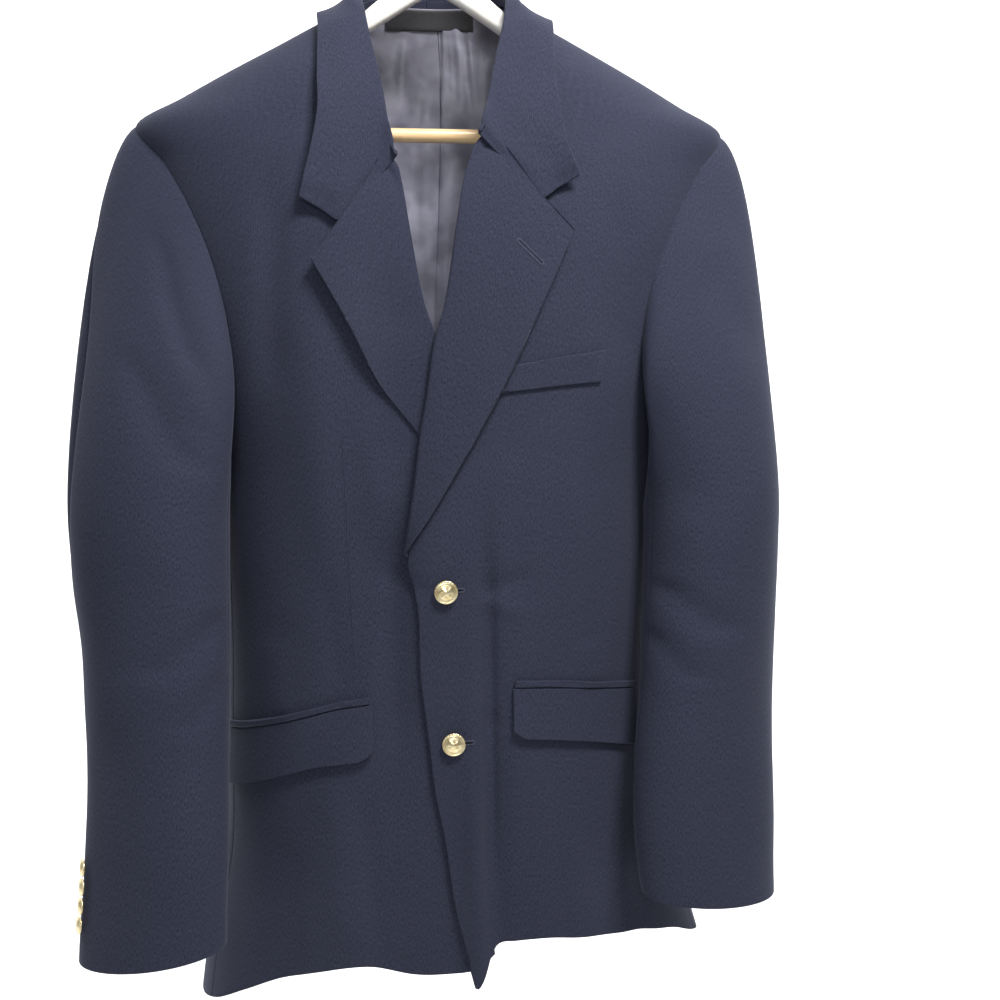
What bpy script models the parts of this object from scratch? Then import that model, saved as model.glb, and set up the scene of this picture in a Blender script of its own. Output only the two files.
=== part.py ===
# Blazer on a wooden hanger, as closed cloth and wood solids. Metres, +Z up, the front looks along -Y.
# The origin is the inside top of the hanger's hook. Heights in the tables are taken from the shoulder point,
# where the sleeve seam crosses the shoulder, and lowered by HOOK_RISE when the meshes are made.
# The wearer's left is on +X. Angles in the tables are in degrees.
import bpy
import math
import bisect
from mathutils import Vector

for item in list(bpy.data.objects):
    bpy.data.objects.remove(item, do_unlink=True)

# Named sizes
HOOK_RISE = 0.215
WALL = 0.0018
LINING_WALL = 0.0011
LAYER_GAP = 0.0005
POCKET_GAP = 0.0012
SEAM_GAP = 0.0004
HEM_LEVEL = -0.66
HEM_REACH = 0.20
SIDE_SEAM_FRONT = 72.0
SIDE_SEAM_BACK = 112.5
SHOULDER_NECK = 0.083
FRONT_BUTTON_RADIUS = 0.0089
CUFF_BUTTON_RADIUS = 0.0065
HOOK_WIRE = 0.0019
HOOK_RADIUS = 0.023
BAR_RADIUS = 0.0055
BAR_HALF = 0.1680
BAR_HEIGHT = -0.0035
ARM_HALF = 0.212

# Rings of the body: height, half width, front depth, back depth, squareness, shift to the wearer's left
BODY = [
    (0.116, 0.0530, 0.0150, 0.0560, 2.2, -0.002),
    (0.100, 0.0620, 0.0180, 0.0580, 2.2, -0.002),
    (0.086, 0.0735, 0.0230, 0.0600, 2.2, -0.001),
    (0.080, 0.0865, 0.0260, 0.0610, 2.2, -0.001),
    (0.060, 0.1240, 0.0380, 0.0640, 2.2, 0.0),
    (0.040, 0.1610, 0.0500, 0.0680, 2.25, 0.0),
    (0.020, 0.1960, 0.0590, 0.0690, 2.3, 0.0),
    (0.000, 0.2300, 0.0670, 0.0745, 2.3, 0.0),
    (-0.030, 0.2200, 0.0820, 0.0820, 2.3, 0.0),
    (-0.080, 0.2080, 0.0975, 0.0905, 2.35, -0.001),
    (-0.140, 0.1960, 0.1080, 0.0940, 2.35, -0.003),
    (-0.200, 0.1860, 0.1130, 0.0930, 2.35, -0.003),
    (-0.260, 0.1760, 0.1160, 0.0890, 2.3, -0.003),
    (-0.330, 0.1735, 0.1180, 0.0850, 2.3, -0.004),
    (-0.400, 0.1735, 0.1190, 0.0830, 2.3, -0.004),
    (-0.480, 0.1765, 0.1210, 0.0840, 2.3, -0.004),
    (-0.560, 0.1840, 0.1230, 0.0870, 2.3, 0.000),
    (-0.640, 0.2040, 0.1250, 0.0900, 2.3, 0.005),
    (-0.720, 0.2220, 0.1260, 0.0920, 2.3, 0.011),
]

# Armhole: turn round the hole from its top, height, angle from the front centre
ARMHOLE = [
    (0.0, 0.0000, 90.0),
    (15.0, -0.0060, 80.0),
    (30.0, -0.0200, 72.0),
    (50.0, -0.0480, 63.0),
    (70.0, -0.0820, 56.0),
    (90.0, -0.1180, 52.0),
    (110.0, -0.1550, 51.0),
    (130.0, -0.1900, 53.5),
    (150.0, -0.2200, 60.0),
    (165.0, -0.2370, 73.0),
    (180.0, -0.2430, 90.0),
]
ARMHOLE_BACK = 0.75
# The two armholes do not hang alike: how far each opens to the front
ARMHOLE_SPREAD = {1: 1.06, -1: 0.94}

# Hem: angle from the front centre, height
HEM = [
    (-180.0, -0.690),
    (-130.0, -0.697),
    (-90.0, -0.700),
    (-70.0, -0.688),
    (-55.0, -0.668),
    (-42.0, -0.650),
    (-30.0, -0.640),
    (-20.0, -0.637),
    (-10.0, -0.645),
    (0.0, -0.6455),
    (20.0, -0.640),
    (35.0, -0.629),
    (50.0, -0.639),
    (70.0, -0.664),
    (90.0, -0.681),
    (130.0, -0.690),
    (180.0, -0.690),
]
# Hem of the front that lies on top: distance to the right, height
OVER_HEM = [
    (0.000, -0.6420),
    (0.004, -0.6520),
    (0.0085, -0.6565),
    (0.0147, -0.6485),
    (0.0215, -0.6330),
    (0.0280, -0.6245),
    (0.040, -0.6222),
    (0.066, -0.6222),
    (0.091, -0.6256),
    (0.125, -0.6311),
    (0.150, -0.6360),
    (0.200, -0.6640),
]

# How much higher the hem of the front underneath ends, behind the other one
UNDER_HEM_LIFT = 0.016

# Inner edge of each front: height, distance to the right. Hem to break, roll line, then neck seam.
OVER_EDGE = [
    (-0.6560, 0.0055),
    (-0.6305, -0.0009),
    (-0.5978, -0.0074),
    (-0.5419, -0.0142),
    (-0.5024, -0.0211),
    (-0.4559, -0.0256),
    (-0.4099, -0.0307),
    (-0.3631, -0.0316),
    (-0.3436, -0.0343),
    (-0.3251, -0.0385),
    (-0.2862, -0.0339),
    (-0.2643, -0.0306),
    (-0.2318, -0.0263),
    (-0.2010, -0.0206),
    (-0.1646, -0.0148),
    (-0.1362, -0.0064),
    (-0.1099, -0.0011),
    (-0.0771, 0.0046),
    (-0.0421, 0.0123),
    (-0.0134, 0.0240),
    (0.0200, 0.0400),
    (0.0450, 0.0520),
    (0.0660, 0.0620),
    (0.0830, 0.0705),
]
UNDER_EDGE = [
    (-0.6500, 0.0260),
    (-0.4000, 0.0260),
    (-0.3251, 0.0200),
    (-0.2862, 0.0120),
    (-0.2318, -0.0010),
    (-0.1646, -0.0148),
    (-0.1326, -0.0248),
    (-0.0901, -0.0322),
    (-0.0509, -0.0380),
    (-0.0257, -0.0429),
    (0.0100, -0.0520),
    (0.0380, -0.0600),
    (0.0620, -0.0660),
    (0.0830, -0.0712),
]
# Back neck seam: height, half width
BACK_NECK = [
    (0.0830, 0.0790),
    (0.0880, 0.0710),
    (0.0970, 0.0600),
    (0.1050, 0.0470),
    (0.1120, 0.0300),
]
# Heights of the rows of the body's panels
LEVELS = [
    -0.66, -0.625, -0.585, -0.54, -0.50, -0.46, -0.42, -0.38, -0.345, -0.31, -0.28, -0.25, -0.236, -0.22,
    -0.19, -0.155, -0.118, -0.082, -0.048, -0.020, -0.006, 0.0005, 0.020, 0.040, 0.060, 0.073, 0.083,
]

# Outer edge of each lapel: height, distance to the right, stand off from the front
OVER_LAPEL = [
    (-0.3200, -0.0375, 0.0004),
    (-0.3153, -0.0371, 0.0008),
    (-0.2857, -0.0190, 0.0030),
    (-0.2435, 0.0055, 0.0055),
    (-0.2029, 0.0285, 0.0070),
    (-0.1694, 0.0457, 0.0078),
    (-0.1329, 0.0630, 0.0080),
    (-0.0843, 0.0871, 0.0075),
]
UNDER_LAPEL = [
    (-0.3150, 0.0150, 0.0002),
    (-0.2857, 0.0020, 0.0003),
    (-0.2306, -0.0281, 0.0006),
    (-0.1925, -0.0565, 0.0050),
    (-0.1464, -0.0800, 0.0075),
    (-0.1042, -0.1016, 0.0075),
]
# Top edge of each lapel: distance to the right, height, at the gorge start, the notch and the tip
OVER_GORGE = [(0.0258, -0.0134), (0.0638, -0.0594), (0.0871, -0.0843)]
UNDER_GORGE = [(-0.0436, -0.0314), (-0.0802, -0.0759), (-0.1016, -0.1042)]

# Collar, from the gorge round the neck: seam x y z, crest x y z, outer edge x y z, for each side
COLLAR_LEFT = [
    (0.0228, -0.0850, -0.0108, 0.0225, -0.0880, -0.0112, 0.0950, -0.0930, -0.0410),
    (0.0282, -0.0780, 0.0000, 0.0257, -0.0800, 0.0010, 0.0905, -0.0905, -0.0290),
    (0.0360, -0.0690, 0.0120, 0.0312, -0.0680, 0.0170, 0.0858, -0.0850, -0.0145),
    (0.0445, -0.0560, 0.0300, 0.0365, -0.0560, 0.0370, 0.0837, -0.0740, 0.0090),
    (0.0520, -0.0440, 0.0465, 0.0420, -0.0430, 0.0560, 0.0832, -0.0590, 0.0335),
    (0.0595, -0.0320, 0.0620, 0.0480, -0.0300, 0.0745, 0.0852, -0.0430, 0.0560),
    (0.0655, -0.0190, 0.0745, 0.0520, -0.0170, 0.0890, 0.0880, -0.0260, 0.0730),
    (0.0685, -0.0060, 0.0860, 0.0548, -0.0040, 0.1000, 0.0903, -0.0080, 0.0835),
    (0.0650, 0.0110, 0.0942, 0.0552, 0.0110, 0.1090, 0.0905, 0.0130, 0.0845),
    (0.0575, 0.0280, 0.1018, 0.0510, 0.0260, 0.1195, 0.0830, 0.0370, 0.0820),
    (0.0490, 0.0440, 0.1065, 0.0415, 0.0410, 0.1295, 0.0650, 0.0560, 0.0800),
    (0.0300, 0.0535, 0.1132, 0.0265, 0.0510, 0.1370, 0.0400, 0.0655, 0.0800),
    (0.0100, 0.0570, 0.1136, 0.0090, 0.0550, 0.1400, 0.0140, 0.0695, 0.0830),
]
COLLAR_RIGHT = [
    (-0.0414, -0.0900, -0.0290, -0.0412, -0.0930, -0.0288, -0.1097, -0.0950, -0.0585),
    (-0.0450, -0.0820, -0.0150, -0.0433, -0.0840, -0.0145, -0.1050, -0.0910, -0.0393),
    (-0.0495, -0.0720, 0.0020, -0.0462, -0.0720, 0.0060, -0.1002, -0.0860, -0.0214),
    (-0.0545, -0.0590, 0.0220, -0.0485, -0.0590, 0.0290, -0.0950, -0.0750, 0.0054),
    (-0.0595, -0.0460, 0.0390, -0.0520, -0.0450, 0.0490, -0.0944, -0.0600, 0.0292),
    (-0.0640, -0.0340, 0.0560, -0.0550, -0.0320, 0.0680, -0.0932, -0.0430, 0.0520),
    (-0.0680, -0.0200, 0.0725, -0.0568, -0.0180, 0.0850, -0.0920, -0.0270, 0.0690),
    (-0.0690, -0.0060, 0.0860, -0.0580, -0.0040, 0.0975, -0.0912, -0.0080, 0.0815),
    (-0.0642, 0.0110, 0.0948, -0.0572, 0.0110, 0.1080, -0.0910, 0.0130, 0.0840),
    (-0.0570, 0.0280, 0.1024, -0.0520, 0.0260, 0.1195, -0.0830, 0.0370, 0.0820),
    (-0.0490, 0.0440, 0.1065, -0.0420, 0.0410, 0.1295, -0.0650, 0.0560, 0.0800),
    (-0.0300, 0.0535, 0.1132, -0.0270, 0.0510, 0.1370, -0.0400, 0.0655, 0.0800),
    (-0.0100, 0.0570, 0.1136, -0.0090, 0.0550, 0.1400, -0.0140, 0.0695, 0.0830),
]

# Rings of the sleeves: height, outer and inner reach on the wearer's left, the same on the wearer's right,
# depth of the middle, half depth, turn of the ring, drop of the outer side
SLEEVE = [
    (-0.300, 0.2618, 0.1520, 0.2860, 0.1675, -0.070, 0.0500, 30.0, 0.02),
    (-0.345, 0.2621, 0.1505, 0.2845, 0.1685, -0.073, 0.0480, 30.0, 0.03),
    (-0.395, 0.2611, 0.1475, 0.2800, 0.1697, -0.078, 0.0450, 29.0, 0.05),
    (-0.450, 0.2591, 0.1430, 0.2797, 0.1714, -0.087, 0.0420, 27.0, 0.08),
    (-0.510, 0.2567, 0.1365, 0.2797, 0.1734, -0.098, 0.0390, 23.0, 0.11),
    (-0.570, 0.2555, 0.1325, 0.2833, 0.1750, -0.109, 0.0360, 20.0, 0.13),
    (-0.610, 0.2535, 0.1345, 0.2868, 0.1775, -0.115, 0.0340, 18.0, 0.14),
    (-0.637, 0.2524, 0.1376, 0.2885, 0.1784, -0.119, 0.0330, 17.0, 0.14),
]
SLEEVE_LENGTH = {1: 0.872, -1: 0.925}
SLEEVE_FORWARD = {1: 1.0, -1: 0.92}
CAP_SPRING = 0.105
FORE_SEAM = 125.0
SLEEVE_TWIST = 82.0
SLEEVE_SEAM = 0.0014
# Hind seam of each sleeve: way down the sleeve, turn
HIND_SEAM = {
    1: [(0.0, -38.0), (0.25, -14.0), (0.45, -6.0), (0.62, -8.0), (0.8, -16.0), (1.0, -20.0)],
    -1: [(0.0, -38.0), (0.10, 4.0), (0.20, 30.0), (0.33, 32.0), (0.45, 20.0), (0.6, 12.0), (1.0, 8.0)],
}
# How the front of the sleeve leaves the armhole: turn of the middle, half turn, inward, forward
FORE_BREAK = (118.0, 30.0, 1.15, 0.85)

# Pocket pieces: distance to the right and height of the top inner, top outer, bottom outer, bottom inner
FLAP_LEFT = [(0.0390, -0.4212), (0.1460, -0.4398), (0.1440, -0.4850), (0.0390, -0.4600)]
FLAP_RIGHT = [(-0.0672, -0.4302), (-0.1725, -0.4637), (-0.1735, -0.5085), (-0.0662, -0.4715)]
JET_LEFT = [(0.0405, -0.4152), (0.1460, -0.4337), (0.1460, -0.4392), (0.0400, -0.4206)]
JET_RIGHT = [(-0.0682, -0.4245), (-0.1725, -0.4575), (-0.1725, -0.4631), (-0.0680, -0.4296)]
WELT = [(0.0200, -0.1832), (0.1135, -0.1698), (0.1093, -0.1935), (0.0150, -0.2025)]
# How far the middle of each pocket piece is arched up, at its top and at its bottom
FLAP_LEFT_ARCH = (0.0030, 0.0036)
FLAP_RIGHT_ARCH = (0.0042, 0.0065)
JET_LEFT_ARCH = (0.0030, 0.0030)
JET_RIGHT_ARCH = (0.0042, 0.0042)
WELT_ARCH = (0.0006, 0.0010)

# Front buttons: name, distance to the right, height
FRONT_BUTTONS = [("front_button_upper", -0.0111, -0.3449), ("front_button_lower", -0.0067, -0.4608)]
CUFF_BUTTON_FIRST = 0.0300
CUFF_BUTTON_STEP = 0.0136
# How far round from the hind seam the cuff buttons lie
CUFF_BUTTON_TURN = {1: 9.0, -1: 15.0}
# Button outline: radius and height, as shares of the button's radius
BUTTON_PROFILE = [
    (0.00, 0.04),
    (0.27, 0.04),
    (0.27, 0.24),
    (0.91, 0.22),
    (1.00, 0.32),
    (0.93, 0.44),
    (0.55, 0.57),
    (0.00, 0.62),
]

# Folds of the fronts: distance right and height of the top, the same of the bottom, depth, half width
FOLDS = [
    (0.0255, -0.330, 0.0248, -0.660, -0.0045, 0.0110),
    (0.0080, -0.420, 0.0120, -0.670, 0.0045, 0.0120),
    (-0.0150, -0.235, -0.1050, -0.460, -0.0045, 0.0160),
    (0.0850, -0.480, 0.0950, -0.670, 0.0020, 0.0200),
    (-0.1150, -0.500, -0.1200, -0.670, 0.0020, 0.0200),
    (-0.0600, -0.520, -0.0550, -0.670, -0.0015, 0.0180),
]
# Wood of the hanger: distance from the middle, top, bottom, half thickness
ARM = [
    (0.0000, 0.1330, 0.1050, 0.0070),
    (0.0200, 0.1195, 0.0935, 0.0070),
    (0.0400, 0.1010, 0.0810, 0.0075),
    (0.0550, 0.0890, 0.0715, 0.0080),
    (0.0700, 0.0785, 0.0605, 0.0085),
    (0.0850, 0.0705, 0.0500, 0.0090),
    (0.1100, 0.0603, 0.0370, 0.0095),
    (0.1400, 0.0453, 0.0215, 0.0100),
    (0.1680, 0.0311, 0.0080, 0.0105),
    (0.1690, 0.0306, -0.0100, 0.0105),
    (0.1900, 0.0200, -0.0110, 0.0105),
    (0.2050, 0.0118, -0.0100, 0.0100),
    (0.2120, 0.0045, -0.0070, 0.0085),
]


def smooth(rows, at, column):
    # Value of a table's column at a point between its rows, on a smooth curve
    rows = sorted(rows)
    keys = [row[0] for row in rows]
    vals = [row[column] for row in rows]
    if at <= keys[0]:
        return vals[0]
    if at >= keys[-1]:
        return vals[-1]
    k = bisect.bisect_right(keys, at) - 1
    span = keys[k + 1] - keys[k]
    t = (at - keys[k]) / span

    def slope(i):
        lo = max(0, i - 1)
        hi = min(len(keys) - 1, i + 1)
        return (vals[hi] - vals[lo]) / (keys[hi] - keys[lo])

    a = slope(k) * span
    b = slope(k + 1) * span
    h0 = 2 * t ** 3 - 3 * t ** 2 + 1
    h1 = t ** 3 - 2 * t ** 2 + t
    h2 = -2 * t ** 3 + 3 * t ** 2
    h3 = t ** 3 - t ** 2
    return h0 * vals[k] + h1 * a + h2 * vals[k + 1] + h3 * b


def straight(rows, at, column):
    # The same, on straight lines
    rows = sorted(rows)
    if at <= rows[0][0]:
        return rows[0][column]
    for low, high in zip(rows, rows[1:]):
        if at <= high[0]:
            t = (at - low[0]) / (high[0] - low[0])
            return low[column] + (high[column] - low[column]) * t
    return rows[-1][column]


def ramp(value, start, end):
    t = max(0.0, min(1.0, (value - start) / (end - start)))
    return t * t * (3 - 2 * t)


def relief(x, z):
    # How far the folds bring the front forward at a point
    total = 0.0
    for x0, z0, x1, z1, depth, width in FOLDS:
        t = (z - z0) / (z1 - z0)
        if t <= 0:
            continue
        middle = x0 + (x1 - x0) * t
        along = ramp(t, 0.0, 0.45) * (1 - ramp(t, 0.80, 1.35))
        total += depth * along * math.exp(-((x - middle) / width) ** 2)
    return total


def tuck(x, z):
    # How far the under front lies behind the front that laps over it
    across = ramp(x, -0.105, -0.045)
    level = ramp(z, -0.345, -0.315) * (1 - ramp(z, -0.150, -0.090))
    fade = 1 - ramp(z, -0.110, -0.040)
    return across * (0.0047 * fade + 0.0022 * level)


def body(angle, height, layer="over"):
    half = smooth(BODY, height, 1)
    power = smooth(BODY, height, 4)
    turn = math.radians(angle)
    s = math.sin(turn)
    c = math.cos(turn)
    x = smooth(BODY, height, 5) + half * math.copysign(abs(s) ** (2 / power), s)
    if c >= 0:
        push = relief(x, height) * ramp(c, 0.05, 0.45)
        if layer == "under":
            push -= tuck(x, height)
        y = -smooth(BODY, height, 2) * abs(c) ** (2 / power) - push
    else:
        y = smooth(BODY, height, 3) * abs(c) ** (2 / power)
    return Vector((x, y, height))


def angle_of(x, height):
    # Angle on the front of the body at a distance to the right
    half = smooth(BODY, height, 1)
    power = smooth(BODY, height, 4)
    x = x - smooth(BODY, height, 5)
    share = min(1.0, abs(x) / half) ** (power / 2)
    return math.copysign(math.degrees(math.asin(share)), x)


def body_normal(angle, height, layer="over"):
    across = body(angle + 0.6, height, layer) - body(angle - 0.6, height, layer)
    up = body(angle, height + 0.0015, layer) - body(angle, height - 0.0015, layer)
    return across.cross(up).normalized()


def front(x, z, lift, layer="over"):
    # A point on the front, moved out
    turn = angle_of(x, z)
    return body(turn, z, layer) + body_normal(turn, z, layer) * lift


def clear_of_body(point, lift, layer="over"):
    # Moves a point out until it stands off the body by the lift
    for step in range(3):
        half = smooth(BODY, point.z, 1)
        power = smooth(BODY, point.z, 4)
        deep = smooth(BODY, point.z, 2 if point.y < 0 else 3)
        across = point.x - smooth(BODY, point.z, 5)
        sx = math.copysign(abs(across / half) ** (power / 2), across)
        sy = math.copysign(abs(point.y / deep) ** (power / 2), -point.y)
        turn = math.degrees(math.atan2(sx, sy))
        base = body(turn, point.z, layer)
        out = body_normal(turn, point.z, layer)
        short = lift - (point - base).dot(out)
        if short > 0:
            point = point + out * short
    return point


def hem(angle, layer):
    height = smooth(HEM, angle, 1)
    if layer == "over" and 0 <= angle < 60:
        x = body(angle, height).x
        height = smooth(OVER_HEM, x, 1) * (1 - ramp(angle, 40, 60)) + height * ramp(angle, 40, 60)
    elif layer == "over" and -20 < angle < 0:
        height = OVER_HEM[0][1]
    elif layer == "under" and angle > -2:
        height += UNDER_HEM_LIFT * ramp(angle, -2.0, 8.0)
    return height


def row_height(level, angle, layer):
    share = max(0.0, 1 - (level - HEM_LEVEL) / HEM_REACH)
    return level + (hem(angle, layer) - HEM_LEVEL) * share


def armhole_angle(height, side, face):
    rows = [(row[1], row[2]) for row in ARMHOLE]
    spread = (90.0 - smooth(rows, height, 1)) * ARMHOLE_SPREAD[side]
    if face == "front":
        return 90.0 - spread
    return 90.0 + spread * ARMHOLE_BACK


def armhole_point(turn, side):
    # Point of the armhole at a turn from its top, positive to the front
    t = abs((turn + 180.0) % 360.0 - 180.0)
    forward = 0.0 <= (turn % 360.0) <= 180.0
    height = smooth(ARMHOLE, t, 1)
    spread = (90.0 - smooth(ARMHOLE, t, 2)) * ARMHOLE_SPREAD[side]
    angle = 90.0 - spread if forward else 90.0 + spread * ARMHOLE_BACK
    return body(angle * side, height, "plain")


def nudge(angle, height, distance, layer):
    # The angle that lies a small distance further round the body
    step = (body(angle + 0.5, height, layer) - body(angle - 0.5, height, layer)).length
    return angle + distance / max(step, 1e-6)


def material(name, colour, rough, metal):
    mat = bpy.data.materials.new(name)
    mat.use_nodes = True
    shader = mat.node_tree.nodes["Principled BSDF"]
    shader.inputs["Base Color"].default_value = colour
    shader.inputs["Roughness"].default_value = rough
    shader.inputs["Metallic"].default_value = metal
    return mat


CLOTH = material("navy_twill", (0.035, 0.037, 0.062, 1.0), 0.85, 0.0)
SATIN = material("grey_satin", (0.150, 0.150, 0.180, 1.0), 0.45, 0.0)
LABEL = material("black_label", (0.012, 0.012, 0.013, 1.0), 0.60, 0.0)
WOOD = material("pale_wood", (0.720, 0.520, 0.300, 1.0), 0.50, 0.0)
WHITE_WOOD = material("white_wood", (0.800, 0.790, 0.760, 1.0), 0.45, 0.0)
BRASS = material("brass", (0.750, 0.560, 0.250, 1.0), 0.28, 1.0)
STEEL = material("steel", (0.560, 0.560, 0.570, 1.0), 0.25, 1.0)

group = bpy.data.collections.new("blazer_on_hanger")
bpy.context.scene.collection.children.link(group)


def add_mesh(name, points, faces, mat):
    mesh = bpy.data.meshes.new(name)
    lowered = [(p[0], p[1], p[2] - HOOK_RISE) for p in points]
    mesh.from_pydata(lowered, [], faces)
    mesh.materials.append(mat)
    mesh.update()
    thing = bpy.data.objects.new(name, mesh)
    group.objects.link(thing)
    return thing


def add_shell(name, outer, inner, mat, flip=False):
    # Closed solid between two grids of the same shape
    rows = len(outer)
    cols = len(outer[0])
    points = [p for row in outer for p in row] + [p for row in inner for p in row]
    back = rows * cols
    faces = []
    for i in range(rows - 1):
        for j in range(cols - 1):
            a = i * cols + j
            quad = (a, a + 1, a + cols + 1, a + cols)
            faces.append(quad)
            faces.append(tuple(back + k for k in reversed(quad)))
    for j in range(cols - 1):
        faces.append((j + 1, j, back + j, back + j + 1))
        top = (rows - 1) * cols + j
        faces.append((top, top + 1, back + top + 1, back + top))
    for i in range(rows - 1):
        left = i * cols
        faces.append((left, left + cols, back + left + cols, back + left))
        right = left + cols - 1
        faces.append((right + cols, right, back + right, back + right + cols))
    if flip:
        faces = [tuple(reversed(f)) for f in faces]
    return add_mesh(name, points, faces, mat)


def grid_normals(grid):
    rows = len(grid)
    cols = len(grid[0])
    out = []
    for i in range(rows):
        line = []
        for j in range(cols):
            up = grid[min(i + 1, rows - 1)][j] - grid[max(i - 1, 0)][j]
            across = grid[i][min(j + 1, cols - 1)] - grid[i][max(j - 1, 0)]
            line.append(across.cross(up).normalized())
        out.append(line)
    return out


def offset_grid(grid, normals, distance):
    return [[p + n * distance for p, n in zip(row, line)] for row, line in zip(grid, normals)]


def panel(name, levels, bounds, cols, layer, depth0, depth1, mat, spread=None):
    # A body panel: bounds gives its two angles at a level, depths are measured inward from the outer face
    outer = []
    inner = []
    for level in levels:
        low, high = bounds(level)
        line_out = []
        line_in = []
        for j in range(cols + 1):
            share = j / cols if spread is None else spread(j / cols)
            angle = low + (high - low) * share
            height = row_height(level, angle, layer) if level <= HEM_LEVEL + HEM_REACH else level
            out = body_normal(angle, height, layer)
            point = body(angle, height, layer)
            line_out.append(point - out * depth0)
            line_in.append(point - out * depth1)
        outer.append(line_out)
        inner.append(line_in)
    return add_shell(name, outer, inner, mat)


def front_bounds(side, layer, edges):
    def bounds(level):
        height = level
        if level <= HEM_LEVEL + 0.001:
            height = -0.650
        edge = angle_of(smooth(edges, height, 1), height)
        if level < -0.2365:
            far = SIDE_SEAM_FRONT * side
        elif level < 0.0:
            far = min(armhole_angle(level, side, "front"), SIDE_SEAM_FRONT if level < -0.2 else 90.0) * side
        else:
            far = 90.0 * side
        far = nudge(far, level, -side * SEAM_GAP / 2, layer)
        return (edge, far) if side > 0 else (far, edge)
    return bounds


def gathered(t):
    return t ** 1.35


def gathered_far(t):
    return 1 - (1 - t) ** 1.35


over_bounds = front_bounds(1, "over", OVER_EDGE)
under_bounds = front_bounds(-1, "under", UNDER_EDGE)
panel("front_left", LEVELS, over_bounds, 12, "over", 0.0, WALL, CLOTH, gathered)
panel("front_right", LEVELS, under_bounds, 12, "under", 0.0, WALL, CLOTH, gathered_far)

BACK_LEVELS = [-0.66, -0.60, -0.54, -0.48, -0.42, -0.36, -0.30, -0.25, -0.22, -0.19, -0.155, -0.118,
               -0.082, -0.048, -0.020, -0.006, 0.0005, 0.020, 0.040, 0.060, 0.073, 0.083]
NECK_LEVELS = [0.0880, 0.0970, 0.1050, 0.1120]


def back_outer(level, side):
    if level < -0.2195:
        return SIDE_SEAM_BACK
    if level < 0.0:
        return armhole_angle(level, side, "back")
    if level <= SHOULDER_NECK + 0.0005:
        return 90.0
    return 180.0 - angle_of(straight(BACK_NECK, level, 1), level)


def back_bounds(side):
    def bounds(level):
        far = nudge(back_outer(level, side), level, SEAM_GAP / 2, "plain")
        seam = nudge(180.0, level, -SEAM_GAP / 2, "plain")
        return (far, seam) if side > 0 else (-seam, -far)
    return bounds


panel("back_left", BACK_LEVELS + NECK_LEVELS, back_bounds(1), 9, "plain", 0.0, WALL, CLOTH)
panel("back_right", BACK_LEVELS + NECK_LEVELS, back_bounds(-1), 9, "plain", 0.0, WALL, CLOTH)


def side_panel(name, side):
    # The underarm panel ends at the bottom of the armhole
    levels = [level for level in LEVELS if level < -0.24] + [None]
    outer = []
    inner = []
    cols = 6
    for level in levels:
        line_out = []
        line_in = []
        for j in range(cols + 1):
            at = -0.235 if level is None else level
            low = nudge(SIDE_SEAM_FRONT, at, SEAM_GAP / 2 + 0.0001, "plain")
            high = nudge(SIDE_SEAM_BACK, at, -SEAM_GAP / 2 - 0.0002, "plain")
            angle = low + (high - low) * j / cols
            if level is None:
                spread = (90.0 - angle) / ARMHOLE_SPREAD[side]
                if angle > 90.0:
                    spread = (angle - 90.0) / ARMHOLE_BACK / ARMHOLE_SPREAD[side]
                rows = [(90.0 - row[2], row[1]) for row in ARMHOLE if row[0] >= 130.0]
                height = smooth(rows, spread, 1) - 0.0008
            else:
                height = row_height(level, angle * side, "plain")
            point = body(angle * side, height, "plain")
            line_out.append(point)
            line_in.append(point - body_normal(angle * side, height, "plain") * WALL)
        outer.append(line_out)
        inner.append(line_in)
    return add_shell(name, outer, inner, CLOTH, flip=side < 0)


side_panel("side_left", 1)
side_panel("side_right", -1)


def sleeve_ring(way, side):
    # Centre, long axis and short axis of the sleeve at a way down from the first ring to the cuff
    column = 1 if side > 0 else 3
    z = SLEEVE[0][0] + (SLEEVE[-1][0] - SLEEVE[0][0]) * way
    far = smooth(SLEEVE, z, column)
    near = smooth(SLEEVE, z, column + 1)
    half_deep = smooth(SLEEVE, z, 6)
    turn = math.radians(smooth(SLEEVE, z, 7))
    drop = smooth(SLEEVE, z, 8)
    middle = (far + near) / 2
    reach = (far - near) / 2
    long = math.sqrt(max(reach ** 2 - (half_deep * math.sin(turn)) ** 2, 1e-6)) / math.cos(turn)
    down = SLEEVE[0][0] + (z - SLEEVE[0][0]) * SLEEVE_LENGTH[side]
    return middle, smooth(SLEEVE, z, 5) * SLEEVE_FORWARD[side], down, long, half_deep, turn, drop


def ring_point(way, turn, side):
    middle, deep, down, long, short, yaw, drop = sleeve_ring(way, side)
    low = (1 - math.cos(math.radians(turn))) / 2
    t = math.radians(turn + SLEEVE_TWIST * low ** 0.8)
    a = long * math.cos(t)
    b = short * math.sin(t)
    x = middle + a * math.cos(yaw) + b * math.sin(yaw)
    y = deep + a * math.sin(yaw) - b * math.cos(yaw)
    return Vector((x * side, y, down - drop * (x - middle)))


CAP_SHARE = 0.34


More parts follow.
